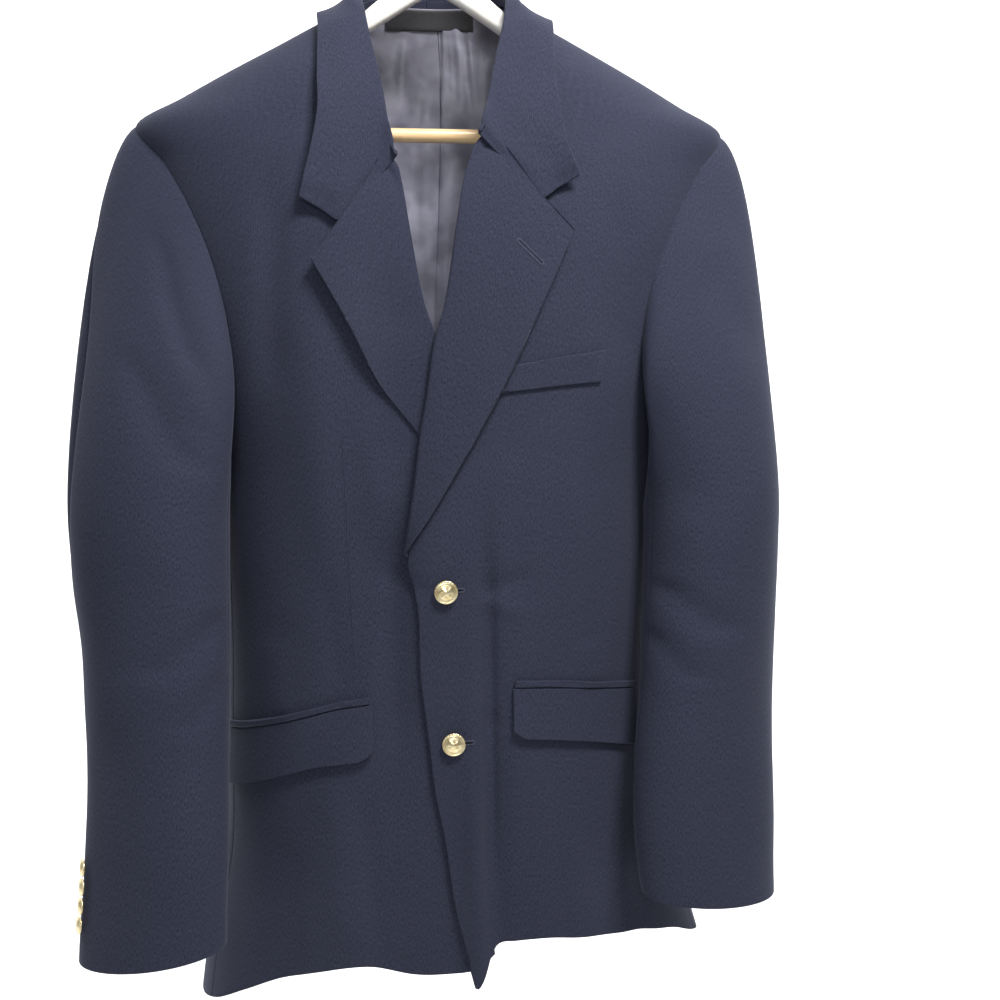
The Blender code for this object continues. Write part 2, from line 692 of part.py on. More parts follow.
def sleeve_point(way, turn, side):
    # Way 0 is the armhole, 1 the cuff
    if way >= CAP_SHARE:
        return ring_point((way - CAP_SHARE) / (1 - CAP_SHARE), turn, side)
    t = way / CAP_SHARE
    start = armhole_point(turn, side)
    end = ring_point(0.0, turn, side)
    reach = (end - start).length
    r = math.radians(turn)
    low = (1 - math.cos(r)) / 2
    fore = math.exp(-((turn % 360.0 - FORE_BREAK[0]) / FORE_BREAK[1]) ** 2)
    across = (0.87 - FORE_BREAK[2] * fore) * side
    ahead = -0.20 * math.sin(r) - FORE_BREAK[3] * fore
    out = Vector((across, ahead, -0.48 - 0.35 * low ** 2)).normalized()
    spring = CAP_SPRING * (1 - low) + min(CAP_SPRING, reach) * low
    lead = (ring_point(0.08, turn, side) - end).normalized() * reach * 0.9
    h0 = 2 * t ** 3 - 3 * t ** 2 + 1
    h1 = t ** 3 - 2 * t ** 2 + t
    h2 = -2 * t ** 3 + 3 * t ** 2
    h3 = t ** 3 - t ** 2
    start = start + out * SLEEVE_SEAM
    return start * h0 + out * spring * h1 + end * h2 + lead * h3


def sleeve_normal(way, turn, side):
    across = sleeve_point(way, turn + 1.0, side) - sleeve_point(way, turn - 1.0, side)
    along = sleeve_point(min(1.0, way + 0.004), turn, side) - sleeve_point(max(0.0, way - 0.004), turn, side)
    return along.cross(across).normalized() * side


def sleeve_inside(way, turn, side):
    return sleeve_point(way, turn, side) + sleeve_normal(way, turn, side) * WALL


def sleeve(name, side, low_turn, high_turn, cols):
    # Low and high turn are worked out for a way and a side
    ways = [CAP_SHARE * s for s in (0.0, 0.07, 0.15, 0.27, 0.42, 0.60, 0.80)]
    ways += [CAP_SHARE + (1 - CAP_SHARE) * k / 10 for k in range(11)]
    outer = []
    inner = []
    for way in reversed(ways):
        low = low_turn(way, side)
        high = high_turn(way, side)
        outer.append([sleeve_point(way, low + (high - low) * j / cols, side) for j in range(cols + 1)])
        inner.append([sleeve_inside(way, low + (high - low) * j / cols, side) for j in range(cols + 1)])
    return add_shell(name, outer, inner, CLOTH, flip=side > 0)


def turn_gap(sign):
    return sign * math.degrees(SEAM_GAP / 2 / 0.028)


def hind(way, side):
    return smooth(HIND_SEAM[side], way, 1)


def top_low(way, side):
    return hind(way, side) + turn_gap(1)


def top_high(way, side):
    return FORE_SEAM - turn_gap(1)


def under_low(way, side):
    return FORE_SEAM + turn_gap(1)


def under_high(way, side):
    return 360.0 + hind(way, side) - turn_gap(1)


for side, word in ((1, "left"), (-1, "right")):
    sleeve("top_sleeve_" + word, side, top_low, top_high, 15)
    sleeve("under_sleeve_" + word, side, under_low, under_high, 11)


# Start of the leaf round the roll line: outer and inner lift, outer and inner distance past the line
LAPEL_ROLL = [
    (-0.0018, -0.0018, 0.0021, 0.0004),
    (0.0006, 0.0002, 0.0023, 0.0005),
    (0.0022, 0.0005, 0.0012, 0.0001),
]


def lapel(name, side, layer, edges, outline, gorge):
    # Leaf that turns over the edge of the front at the roll line and lies on the chest
    shares = [0.06, 0.22, 0.42, 0.62, 0.76, 0.88, 0.95, 1.0]
    low = outline[0][0] + 0.001
    tip = gorge[2]
    outer = []
    inner = []
    rolls = [low] + [z for z in LEVELS if low + 0.004 < z < gorge[0][1] - 0.004] + [gorge[0][1]]
    for roll_z in rolls:
        level = (roll_z - low) / (gorge[0][1] - low)
        edge_z = low + (tip[1] - low) * level
        roll_x = smooth(edges, roll_z, 1)
        edge_x = smooth(outline, edge_z, 1)
        stand = smooth(outline, edge_z, 2)
        bend = ramp(level, 0.70, 1.0)
        line_out = []
        line_in = []
        for out_d, in_d, w_out, w_in in LAPEL_ROLL:
            line_out.append(front(roll_x - side * w_out, roll_z, out_d, layer))
            line_in.append(front(roll_x - side * w_in, roll_z, in_d, layer))
        for share in shares:
            x = roll_x + (edge_x - roll_x) * share
            z = roll_z + (edge_z - roll_z) * share
            notch = 0.62
            if share < notch:
                bx = gorge[0][0] + (gorge[1][0] - gorge[0][0]) * share / notch
                bz = gorge[0][1] + (gorge[1][1] - gorge[0][1]) * share / notch
            else:
                bx = gorge[1][0] + (gorge[2][0] - gorge[1][0]) * (share - notch) / (1 - notch)
                bz = gorge[1][1] + (gorge[2][1] - gorge[1][1]) * (share - notch) / (1 - notch)
            x = x * (1 - bend) + bx * bend
            z = z * (1 - bend) + bz * bend
            base = 0.0009 + stand * share ** 0.8
            if layer == "under":
                hidden = ramp(x, -0.075, -0.036) * (1 - ramp(z, -0.15, -0.10))
                base = base * (1 - hidden) + 0.0006 * hidden
            line_in.append(front(x, z, base, layer))
            line_out.append(front(x, z, base + 0.0017, layer))
        outer.append(line_out)
        inner.append(line_in)
    return add_shell(name, outer, inner, CLOTH, flip=side < 0)


lapel("lapel_left", 1, "over", OVER_EDGE, OVER_LAPEL, OVER_GORGE)
lapel("lapel_right", -1, "under", UNDER_EDGE, UNDER_LAPEL, UNDER_GORGE)


def collar():
    # One piece round the neck: stand, fold and fall. The middle line of each section is
    # worked out first, then half a wall each way.
    stations = list(COLLAR_RIGHT) + list(reversed(COLLAR_LEFT))
    shares = [0.12, 0.33, 0.55, 0.78, 1.0]
    count = len(stations)
    middle = []
    for k, row in enumerate(stations):
        seam = Vector(row[0:3])
        crest = Vector(row[3:6])
        edge = Vector(row[6:9])
        side = -1 if k < len(COLLAR_RIGHT) else 1
        layer = "plain" if side > 0 else "under"
        line = [seam, seam.lerp(crest, 0.55), crest]
        end = k in (0, count - 1)
        near = k in (1, count - 2)
        gorge = UNDER_GORGE if side < 0 else OVER_GORGE
        for share in shares:
            point = crest.lerp(edge, share)
            if end or near:
                notch = 0.55
                if share <= notch:
                    t = share / notch
                    x = gorge[0][0] + (gorge[1][0] - gorge[0][0]) * t
                    z = gorge[0][1] + (gorge[1][1] - gorge[0][1]) * t
                else:
                    t = (share - notch) / (1 - notch)
                    x = gorge[1][0] + (edge.x - gorge[1][0]) * t
                    z = gorge[1][1] + (edge.z - gorge[1][1]) * t
                amount = 1.0 if end else 0.35
                point.x = point.x * (1 - amount) + x * amount
                point.z = point.z * (1 - amount) + z * amount
            if end:
                point.z += 0.0020
                point.x += 0.0008 * side
            lift = 0.0022 + 0.0045 * min(1.0, share * 1.6)
            line.append(clear_of_body(point, lift, layer))
        middle.append(line)
    normals = grid_normals(middle)
    outer = offset_grid(middle, normals, WALL / 2)
    inner = offset_grid(middle, normals, -WALL / 2)
    return add_shell("collar", outer, inner, CLOTH)


collar()


def patch(name, corners, side, layer, cols, rows, low, high, bulge, arch, round_corner=0.0):
    # A flat piece on the front between four corners, as high off the cloth as low to high,
    # arched up in the middle by the first number at its top and the second at its bottom
    outer = []
    inner = []
    for i in range(rows + 1):
        v = 1 - i / rows
        line_out = []
        line_in = []
        for j in range(cols + 1):
            u = j / cols
            left = [corners[0][k] + (corners[3][k] - corners[0][k]) * v for k in (0, 1)]
            right = [corners[1][k] + (corners[2][k] - corners[1][k]) * v for k in (0, 1)]
            x = left[0] + (right[0] - left[0]) * u
            z = left[1] + (right[1] - left[1]) * u
            z += (arch[0] + (arch[1] - arch[0]) * v) * math.sin(math.pi * u)
            if round_corner > 0 and v > 0.7:
                near = max(0.0, 1 - u * cols / 2.0)
                z += round_corner * near ** 2 * (v - 0.7) / 0.3
            puff = bulge * v
            line_in.append(front(x, z, low + puff, layer))
            line_out.append(front(x, z, high + puff, layer))
        outer.append(line_out)
        inner.append(line_in)
    return add_shell(name, outer, inner, CLOTH, flip=side < 0)


FLAP_TOP = POCKET_GAP + WALL
JET_TOP = POCKET_GAP + 0.0022
patch("flap_left", FLAP_LEFT, 1, "over", 10, 4, POCKET_GAP, FLAP_TOP, 0.0020, FLAP_LEFT_ARCH, 0.006)
patch("flap_right", FLAP_RIGHT, -1, "under", 10, 4, POCKET_GAP, FLAP_TOP, 0.0020, FLAP_RIGHT_ARCH, 0.006)
patch("jet_left", JET_LEFT, 1, "over", 10, 1, POCKET_GAP, JET_TOP, 0.0, JET_LEFT_ARCH)
patch("jet_right", JET_RIGHT, -1, "under", 10, 1, POCKET_GAP, JET_TOP, 0.0, JET_RIGHT_ARCH)
patch("breast_welt", WELT, 1, "over", 9, 2, LAYER_GAP, LAYER_GAP + WALL, 0.0, WELT_ARCH)

# Lining of the back, inside the two back panels, and the bare label under the collar
LINING_LEVELS = [
    -0.60, -0.48, -0.36, -0.25, -0.19, -0.118, -0.048, -0.006, 0.020, 0.040, 0.060, 0.073, 0.083,
    0.088, 0.097, 0.105,
]
LINING_HEM = 0.030
LINING_SLACK = 0.0042
# The seam of the lining lies to the wearer's left of the middle
LINING_SEAM = 0.011


def lining_depth(height):
    # The lining hangs free of the back below the neck
    return WALL + 0.0008 + LINING_SLACK * ramp(height, 0.084, 0.020)


def lining(name, side):
    cols = 9
    outer = []
    inner = []
    for level in [HEM_LEVEL] + LINING_LEVELS:
        line_out = []
        line_in = []
        margin = 0.004 + 0.016 * ramp(level, -0.060, -0.010)
        far = nudge(back_outer(level, side), level, margin, "plain")
        seam = nudge(180.0, level, -SEAM_GAP / 2 - LINING_SEAM * side, "plain")
        turns = [far + (seam - far) * j / cols for j in range(cols + 1)]
        if side < 0:
            turns = [-turn for turn in reversed(turns)]
        for turn in turns:
            height = row_height(level, turn, "plain") if level <= HEM_LEVEL + HEM_REACH else level
            if level == HEM_LEVEL:
                height += LINING_HEM
            point = body(turn, height, "plain")
            out = body_normal(turn, height, "plain")
            deep = lining_depth(height)
            line_out.append(point - out * deep)
            line_in.append(point - out * (deep + LINING_WALL))
        outer.append(line_out)
        inner.append(line_in)
    return add_shell(name, outer, inner, SATIN)


lining("back_lining_left", 1)
lining("back_lining_right", -1)


def label():
    outer = []
    inner = []
    for z in (0.0880, 0.0960, 0.1040):
        line_out = []
        line_in = []
        for j in range(7):
            x = 0.038 - 0.076 * j / 6
            turn = 180.0 - angle_of(x, z)
            signed = turn if turn <= 180.0 else turn - 360.0
            point = body(signed, z, "plain")
            out = body_normal(signed, z, "plain")
            start = WALL + 0.0016 + LINING_WALL + LAYER_GAP
            line_out.append(point - out * start)
            line_in.append(point - out * (start + 0.0010))
        outer.append(line_out)
        inner.append(line_in)
    return add_shell("neck_label", outer, inner, LABEL)


label()


def button(name, base, axis, radius, segments):
    # A domed button with its shank, turned from its outline
    axis = axis.normalized()
    side = axis.cross(Vector((0.0, 0.0, 1.0)))
    if side.length < 0.2:
        side = axis.cross(Vector((0.0, 1.0, 0.0)))
    side.normalize()
    over = axis.cross(side)
    points = [base + axis * radius * BUTTON_PROFILE[0][1]]
    for r, h in BUTTON_PROFILE[1:-1]:
        for k in range(segments):
            t = 2 * math.pi * k / segments
            points.append(base + axis * radius * h + (side * math.cos(t) + over * math.sin(t)) * radius * r)
    points.append(base + axis * radius * BUTTON_PROFILE[-1][1])
    last = len(points) - 1
    rings = len(BUTTON_PROFILE) - 2
    faces = []
    for k in range(segments):
        n = (k + 1) % segments
        faces.append((0, 1 + n, 1 + k))
        for i in range(rings - 1):
            a = 1 + i * segments
            b = a + segments
            faces.append((a + k, a + n, b + n, b + k))
        top = 1 + (rings - 1) * segments
        faces.append((top + k, top + n, last))
    return add_mesh(name, points, faces, BRASS)


for name, x, z in FRONT_BUTTONS:
    turn = angle_of(x, z)
    facing = body_normal(turn, z)
    button(name, body(turn, z) + facing * 0.0004, facing, FRONT_BUTTON_RADIUS, 16)

for side, word in ((1, "left"), (-1, "right")):
    for count in range(4):
        drop = CUFF_BUTTON_FIRST + CUFF_BUTTON_STEP * count
        way = 1.0 - (1.0 - CAP_SHARE) * drop / ((SLEEVE[0][0] - SLEEVE[-1][0]) * SLEEVE_LENGTH[side])
        turn = hind(way, side) + CUFF_BUTTON_TURN[side]
        here = sleeve_point(way, turn, side)
        across = sleeve_point(way, turn + 1.0, side) - sleeve_point(way, turn - 1.0, side)
        along = sleeve_point(way + 0.01, turn, side) - sleeve_point(way - 0.01, turn, side)
        axis = along.cross(across).normalized()
        if axis.x * side < 0:
            axis = -axis
        name = "cuff_button_" + word + "_" + str(count + 1)
        button(name, here + axis * 0.0006, axis, CUFF_BUTTON_RADIUS, 12)


def hanger_arms():
    spots = []
    for near, far in zip(ARM, ARM[1:]):
        parts = 1 if far[0] - near[0] < 0.004 else 2
        spots += [near[0] + (far[0] - near[0]) * k / parts for k in range(parts)]
    spots.append(ARM[-1][0])
    spots = [-x for x in reversed(spots[1:])] + spots
    count = len(spots) - 1
    rings = []
    for x in spots:
        top = straight(ARM, abs(x), 1)
        low = straight(ARM, abs(x), 2)
        half = straight(ARM, abs(x), 3)
        cut = 0.45 * half
        ring = [(half, low + cut), (half, top - cut), (half - cut, top), (-half + cut, top),
                (-half, top - cut), (-half, low + cut), (-half + cut, low), (half - cut, low)]
        rings.append([Vector((x, y, z)) for y, z in ring])
    points = [p for ring in rings for p in ring]
    faces = []
    for i in range(count):
        for k in range(8):
            n = (k + 1) % 8
            a = i * 8
            faces.append((a + k, a + n, a + 8 + n, a + 8 + k))
    faces.append(tuple(range(7, -1, -1)))
    faces.append(tuple(count * 8 + k for k in range(8)))
    return add_mesh("hanger_arms", points, faces, WHITE_WOOD)


hanger_arms()


def tube(name, path, radius, normals_across, sides, mat):
    # A round bar along a path that lies in the plane square to the across direction
    points = []
    across = Vector(normals_across)
    for k, point in enumerate(path):
        along = (path[min(k + 1, len(path) - 1)] - path[max(k - 1, 0)]).normalized()
        up = across.cross(along).normalized()
        for s in range(sides):
            t = 2 * math.pi * s / sides
            points.append(point + (up * math.cos(t) + across * math.sin(t)) * radius)
    faces = []
    for i in range(len(path) - 1):
        for s in range(sides):
            n = (s + 1) % sides
            a = i * sides
            faces.append((a + s, a + n, a + sides + n, a + sides + s))
    faces.append(tuple(range(sides - 1, -1, -1)))
    end = (len(path) - 1) * sides
    faces.append(tuple(end + s for s in range(sides)))
    return add_mesh(name, points, faces, mat)


bar_path = [Vector((x, 0.0, BAR_HEIGHT)) for x in (-BAR_HALF, -0.08, 0.0, 0.08, BAR_HALF)]
tube("hanger_bar", bar_path, BAR_RADIUS, (0.0, 1.0, 0.0), 12, WOOD)

crown = HOOK_RISE + HOOK_WIRE - HOOK_RADIUS
hook_path = [Vector((0.0, 0.0, z)) for z in (0.1334, 0.1420, 0.1500)]
hook_path += [Vector((0.0012, 0.0, 0.1570)), Vector((0.0048, 0.0, 0.1650))]
for degrees in range(-55, 201, 15):
    t = math.radians(degrees)
    hook_path.append(Vector((HOOK_RADIUS * math.cos(t), 0.0, crown + HOOK_RADIUS * math.sin(t))))
tube("hanger_hook", hook_path, HOOK_WIRE, (0.0, 1.0, 0.0), 8, STEEL)
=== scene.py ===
import math

import bpy
import numpy as np
from mathutils import Matrix, Vector


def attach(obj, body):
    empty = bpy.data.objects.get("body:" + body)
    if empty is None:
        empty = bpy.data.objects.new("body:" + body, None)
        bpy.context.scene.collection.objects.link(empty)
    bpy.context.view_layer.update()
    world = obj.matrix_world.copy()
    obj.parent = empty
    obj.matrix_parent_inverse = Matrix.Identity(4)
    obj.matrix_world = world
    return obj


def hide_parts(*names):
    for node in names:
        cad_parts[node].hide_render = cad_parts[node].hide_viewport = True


# Looks of a navy blazer on a wooden hanger. Metres, +Z up, the front looks along -Y, the wearer's left is +X.
# Heights in the tables are taken from the shoulder point and lowered by HOOK_RISE when the meshes are made.
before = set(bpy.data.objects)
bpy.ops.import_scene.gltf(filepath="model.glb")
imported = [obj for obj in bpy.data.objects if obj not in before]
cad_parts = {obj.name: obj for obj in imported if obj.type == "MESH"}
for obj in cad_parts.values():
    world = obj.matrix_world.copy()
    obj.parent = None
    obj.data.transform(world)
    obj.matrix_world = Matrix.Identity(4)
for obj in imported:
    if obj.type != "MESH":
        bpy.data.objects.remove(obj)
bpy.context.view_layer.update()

# Named sizes
HOOK_RISE = 0.215
WALL = 0.0018
SHELL = 0.0016
LINING_WALL = 0.0011
LINING_HEM = 0.030
LINING_SLACK = 0.0042
LINING_SEAM = 0.011
CAP_SHARE = 0.34
POCKET_GAP = 0.0012
HEM_LEVEL = -0.66
HEM_REACH = 0.20
SIDE_SEAM_FRONT = 72.0
SIDE_SEAM_BACK = 112.5
SHOULDER_NECK = 0.083
FRONT_BUTTON_RADIUS = 0.0089
CUFF_BUTTON_RADIUS = 0.0065
HOOK_WIRE = 0.0019
HOOK_RADIUS = 0.023
BAR_RADIUS = 0.0055
BAR_HALF = 0.1680
BAR_HEIGHT = -0.0035
LABEL_LOW = 0.0880
LABEL_HIGH = 0.1040
LABEL_HALF = 0.038
LABEL_WALL = 0.0006

# Rings of the body: height, half width, front depth, back depth, squareness, shift to the wearer's left
BODY = [
    (0.116, 0.0530, 0.0150, 0.0560, 2.2, -0.002),
    (0.100, 0.0620, 0.0180, 0.0580, 2.2, -0.002),
    (0.086, 0.0735, 0.0230, 0.0600, 2.2, -0.001),
    (0.080, 0.0865, 0.0260, 0.0610, 2.2, -0.001),
    (0.060, 0.1240, 0.0380, 0.0640, 2.2, 0.0),
    (0.040, 0.1610, 0.0500, 0.0680, 2.25, 0.0),
    (0.020, 0.1960, 0.0590, 0.0690, 2.3, 0.0),
    (0.000, 0.2300, 0.0670, 0.0745, 2.3, 0.0),
    (-0.030, 0.2200, 0.0820, 0.0820, 2.3, 0.0),
    (-0.080, 0.2080, 0.0975, 0.0905, 2.35, -0.001),
    (-0.140, 0.1960, 0.1080, 0.0940, 2.35, -0.003),
    (-0.200, 0.1860, 0.1130, 0.0930, 2.35, -0.003),
    (-0.260, 0.1760, 0.1160, 0.0890, 2.3, -0.003),
    (-0.330, 0.1735, 0.1180, 0.0850, 2.3, -0.004),
    (-0.400, 0.1735, 0.1190, 0.0830, 2.3, -0.004),
    (-0.480, 0.1765, 0.1210, 0.0840, 2.3, -0.004),
    (-0.560, 0.1840, 0.1230, 0.0870, 2.3, 0.000),
    (-0.640, 0.2040, 0.1250, 0.0900, 2.3, 0.005),
    (-0.720, 0.2220, 0.1260, 0.0920, 2.3, 0.011),
]

# Armhole: turn round the hole from its top, height, angle from the front centre
ARMHOLE = [
    (0.0, 0.0000, 90.0),
    (15.0, -0.0060, 80.0),
    (30.0, -0.0200, 72.0),
    (50.0, -0.0480, 63.0),
    (70.0, -0.0820, 56.0),
    (90.0, -0.1180, 52.0),
    (110.0, -0.1550, 51.0),
    (130.0, -0.1900, 53.5),
    (150.0, -0.2200, 60.0),
    (165.0, -0.2370, 73.0),
    (180.0, -0.2430, 90.0),
]
ARMHOLE_BACK = 0.75

# The two armholes do not hang alike: how far each opens to the front
ARMHOLE_SPREAD = {1: 1.06, -1: 0.94}

# Hem: angle from the front centre, height
HEM = [
    (-180.0, -0.690),
    (-130.0, -0.697),
    (-90.0, -0.700),
    (-70.0, -0.688),
    (-55.0, -0.668),
    (-42.0, -0.650),
    (-30.0, -0.640),
    (-20.0, -0.637),
    (-10.0, -0.645),
    (0.0, -0.6455),
    (20.0, -0.640),
    (35.0, -0.629),
    (50.0, -0.639),
    (70.0, -0.664),
    (90.0, -0.681),
    (130.0, -0.690),
    (180.0, -0.690),
]

# Hem of the front that lies on top: distance to the right, height
OVER_HEM = [
    (0.000, -0.6420),
    (0.004, -0.6520),
    (0.0085, -0.6565),
    (0.0147, -0.6485),
    (0.0215, -0.6330),
    (0.0280, -0.6245),
    (0.040, -0.6222),
    (0.066, -0.6222),
    (0.091, -0.6256),
    (0.125, -0.6311),
    (0.150, -0.6360),
    (0.200, -0.6640),
]

# How much higher the hem of the front underneath ends, behind the other one
UNDER_HEM_LIFT = 0.016

# Inner edge of each front: height, distance to the right. Hem to break, roll line, then neck seam.
OVER_EDGE = [
    (-0.6560, 0.0055),
    (-0.6305, -0.0009),
    (-0.5978, -0.0074),
    (-0.5419, -0.0142),
    (-0.5024, -0.0211),
    (-0.4559, -0.0256),
    (-0.4099, -0.0307),
    (-0.3631, -0.0316),
    (-0.3436, -0.0343),
    (-0.3251, -0.0385),
    (-0.2862, -0.0339),
    (-0.2643, -0.0306),
    (-0.2318, -0.0263),
    (-0.2010, -0.0206),
    (-0.1646, -0.0148),
    (-0.1362, -0.0064),
    (-0.1099, -0.0011),
    (-0.0771, 0.0046),
    (-0.0421, 0.0123),
    (-0.0134, 0.0240),
    (0.0200, 0.0400),
    (0.0450, 0.0520),
    (0.0660, 0.0620),
    (0.0830, 0.0705),
]

# The same of the front underneath
UNDER_EDGE = [
    (-0.6500, 0.0260),
    (-0.4000, 0.0260),
    (-0.3251, 0.0200),
    (-0.2862, 0.0120),
    (-0.2318, -0.0010),
    (-0.1646, -0.0148),
    (-0.1326, -0.0248),
    (-0.0901, -0.0322),
    (-0.0509, -0.0380),
    (-0.0257, -0.0429),
    (0.0100, -0.0520),
    (0.0380, -0.0600),
    (0.0620, -0.0660),
    (0.0830, -0.0712),
]

# Back neck seam: height, half width
BACK_NECK = [
    (0.0830, 0.0790),
    (0.0880, 0.0710),
    (0.0970, 0.0600),
    (0.1050, 0.0470),
    (0.1120, 0.0300),
]

# Heights of the rows of the body panels
LEVELS = [
    -0.66, -0.625, -0.585, -0.54, -0.50, -0.46, -0.42, -0.38, -0.345, -0.31, -0.28, -0.25, -0.236, -0.22,
    -0.19, -0.155, -0.118, -0.082, -0.048, -0.020, -0.006, 0.0005, 0.020, 0.040, 0.060, 0.073, 0.083,
]

# Outer edge of each lapel: height, distance to the right, stand off from the front
OVER_LAPEL = [
    (-0.3200, -0.0375, 0.0004),
    (-0.3153, -0.0371, 0.0008),
    (-0.2857, -0.0190, 0.0030),
    (-0.2435, 0.0055, 0.0055),
    (-0.2029, 0.0285, 0.0070),
    (-0.1694, 0.0457, 0.0078),
    (-0.1329, 0.0630, 0.0080),
    (-0.0843, 0.0871, 0.0075),
]
UNDER_LAPEL = [
    (-0.3150, 0.0150, 0.0002),
    (-0.2857, 0.0020, 0.0003),
    (-0.2306, -0.0281, 0.0006),
    (-0.1925, -0.0565, 0.0050),
    (-0.1464, -0.0800, 0.0075),
    (-0.1042, -0.1016, 0.0075),
]

# Top edge of each lapel: distance to the right, height, at the gorge start, the notch and the tip
OVER_GORGE = [(0.0258, -0.0134), (0.0638, -0.0594), (0.0871, -0.0843)]
UNDER_GORGE = [(-0.0436, -0.0314), (-0.0802, -0.0759), (-0.1016, -0.1042)]

# Collar, from the gorge round the neck: seam x y z, crest x y z, outer edge x y z, for each side
COLLAR_LEFT = [
    (0.0228, -0.0850, -0.0108, 0.0225, -0.0880, -0.0112, 0.0950, -0.0930, -0.0410),
    (0.0282, -0.0780, 0.0000, 0.0257, -0.0800, 0.0010, 0.0905, -0.0905, -0.0290),
    (0.0360, -0.0690, 0.0120, 0.0312, -0.0680, 0.0170, 0.0858, -0.0850, -0.0145),
    (0.0445, -0.0560, 0.0300, 0.0365, -0.0560, 0.0370, 0.0837, -0.0740, 0.0090),
    (0.0520, -0.0440, 0.0465, 0.0420, -0.0430, 0.0560, 0.0832, -0.0590, 0.0335),
    (0.0595, -0.0320, 0.0620, 0.0480, -0.0300, 0.0745, 0.0852, -0.0430, 0.0560),
    (0.0655, -0.0190, 0.0745, 0.0520, -0.0170, 0.0890, 0.0880, -0.0260, 0.0730),
    (0.0685, -0.0060, 0.0860, 0.0548, -0.0040, 0.1000, 0.0903, -0.0080, 0.0835),
    (0.0650, 0.0110, 0.0942, 0.0552, 0.0110, 0.1090, 0.0905, 0.0130, 0.0845),
    (0.0575, 0.0280, 0.1018, 0.0510, 0.0260, 0.1195, 0.0830, 0.0370, 0.0820),
    (0.0490, 0.0440, 0.1065, 0.0415, 0.0410, 0.1295, 0.0650, 0.0560, 0.0800),
    (0.0300, 0.0535, 0.1132, 0.0265, 0.0510, 0.1370, 0.0400, 0.0655, 0.0800),
    (0.0100, 0.0570, 0.1136, 0.0090, 0.0550, 0.1400, 0.0140, 0.0695, 0.0830),
]
COLLAR_RIGHT = [
    (-0.0414, -0.0900, -0.0290, -0.0412, -0.0930, -0.0288, -0.1097, -0.0950, -0.0585),
    (-0.0450, -0.0820, -0.0150, -0.0433, -0.0840, -0.0145, -0.1050, -0.0910, -0.0393),
    (-0.0495, -0.0720, 0.0020, -0.0462, -0.0720, 0.0060, -0.1002, -0.0860, -0.0214),
    (-0.0545, -0.0590, 0.0220, -0.0485, -0.0590, 0.0290, -0.0950, -0.0750, 0.0054),
    (-0.0595, -0.0460, 0.0390, -0.0520, -0.0450, 0.0490, -0.0944, -0.0600, 0.0292),
    (-0.0640, -0.0340, 0.0560, -0.0550, -0.0320, 0.0680, -0.0932, -0.0430, 0.0520),
    (-0.0680, -0.0200, 0.0725, -0.0568, -0.0180, 0.0850, -0.0920, -0.0270, 0.0690),
    (-0.0690, -0.0060, 0.0860, -0.0580, -0.0040, 0.0975, -0.0912, -0.0080, 0.0815),
    (-0.0642, 0.0110, 0.0948, -0.0572, 0.0110, 0.1080, -0.0910, 0.0130, 0.0840),
    (-0.0570, 0.0280, 0.1024, -0.0520, 0.0260, 0.1195, -0.0830, 0.0370, 0.0820),
    (-0.0490, 0.0440, 0.1065, -0.0420, 0.0410, 0.1295, -0.0650, 0.0560, 0.0800),
    (-0.0300, 0.0535, 0.1132, -0.0270, 0.0510, 0.1370, -0.0400, 0.0655, 0.0800),
    (-0.0100, 0.0570, 0.1136, -0.0090, 0.0550, 0.1400, -0.0140, 0.0695, 0.0830),
]

# Rings of the sleeves: height, outer and inner reach on the wearer's left, the same on the wearer's right,
# depth of the middle, half depth, turn of the ring, drop of the outer side
SLEEVE = [
    (-0.300, 0.2618, 0.1520, 0.2860, 0.1675, -0.070, 0.0500, 30.0, 0.02),
    (-0.345, 0.2621, 0.1505, 0.2845, 0.1685, -0.073, 0.0480, 30.0, 0.03),
    (-0.395, 0.2611, 0.1475, 0.2800, 0.1697, -0.078, 0.0450, 29.0, 0.05),
    (-0.450, 0.2591, 0.1430, 0.2797, 0.1714, -0.087, 0.0420, 27.0, 0.08),
    (-0.510, 0.2567, 0.1365, 0.2797, 0.1734, -0.098, 0.0390, 23.0, 0.11),
    (-0.570, 0.2555, 0.1325, 0.2833, 0.1750, -0.109, 0.0360, 20.0, 0.13),
    (-0.610, 0.2535, 0.1345, 0.2868, 0.1775, -0.115, 0.0340, 18.0, 0.14),
    (-0.637, 0.2524, 0.1376, 0.2885, 0.1784, -0.119, 0.0330, 17.0, 0.14),
]
SLEEVE_LENGTH = {1: 0.872, -1: 0.925}
SLEEVE_FORWARD = {1: 1.0, -1: 0.92}
CAP_SPRING = 0.105
FORE_SEAM = 125.0
SLEEVE_TWIST = 82.0
SLEEVE_SEAM = 0.0003

# Hind seam of each sleeve: way down the sleeve, turn
HIND_SEAM = {
    1: [(0.0, -38.0), (0.25, -14.0), (0.45, -6.0), (0.62, -8.0), (0.8, -16.0), (1.0, -20.0)],
    -1: [(0.0, -38.0), (0.10, 4.0), (0.20, 30.0), (0.33, 32.0), (0.45, 20.0), (0.6, 12.0), (1.0, 8.0)],
}

# How the front of the sleeve leaves the armhole: turn of the middle, half turn, inward, forward
FORE_BREAK = (118.0, 30.0, 1.15, 0.85)

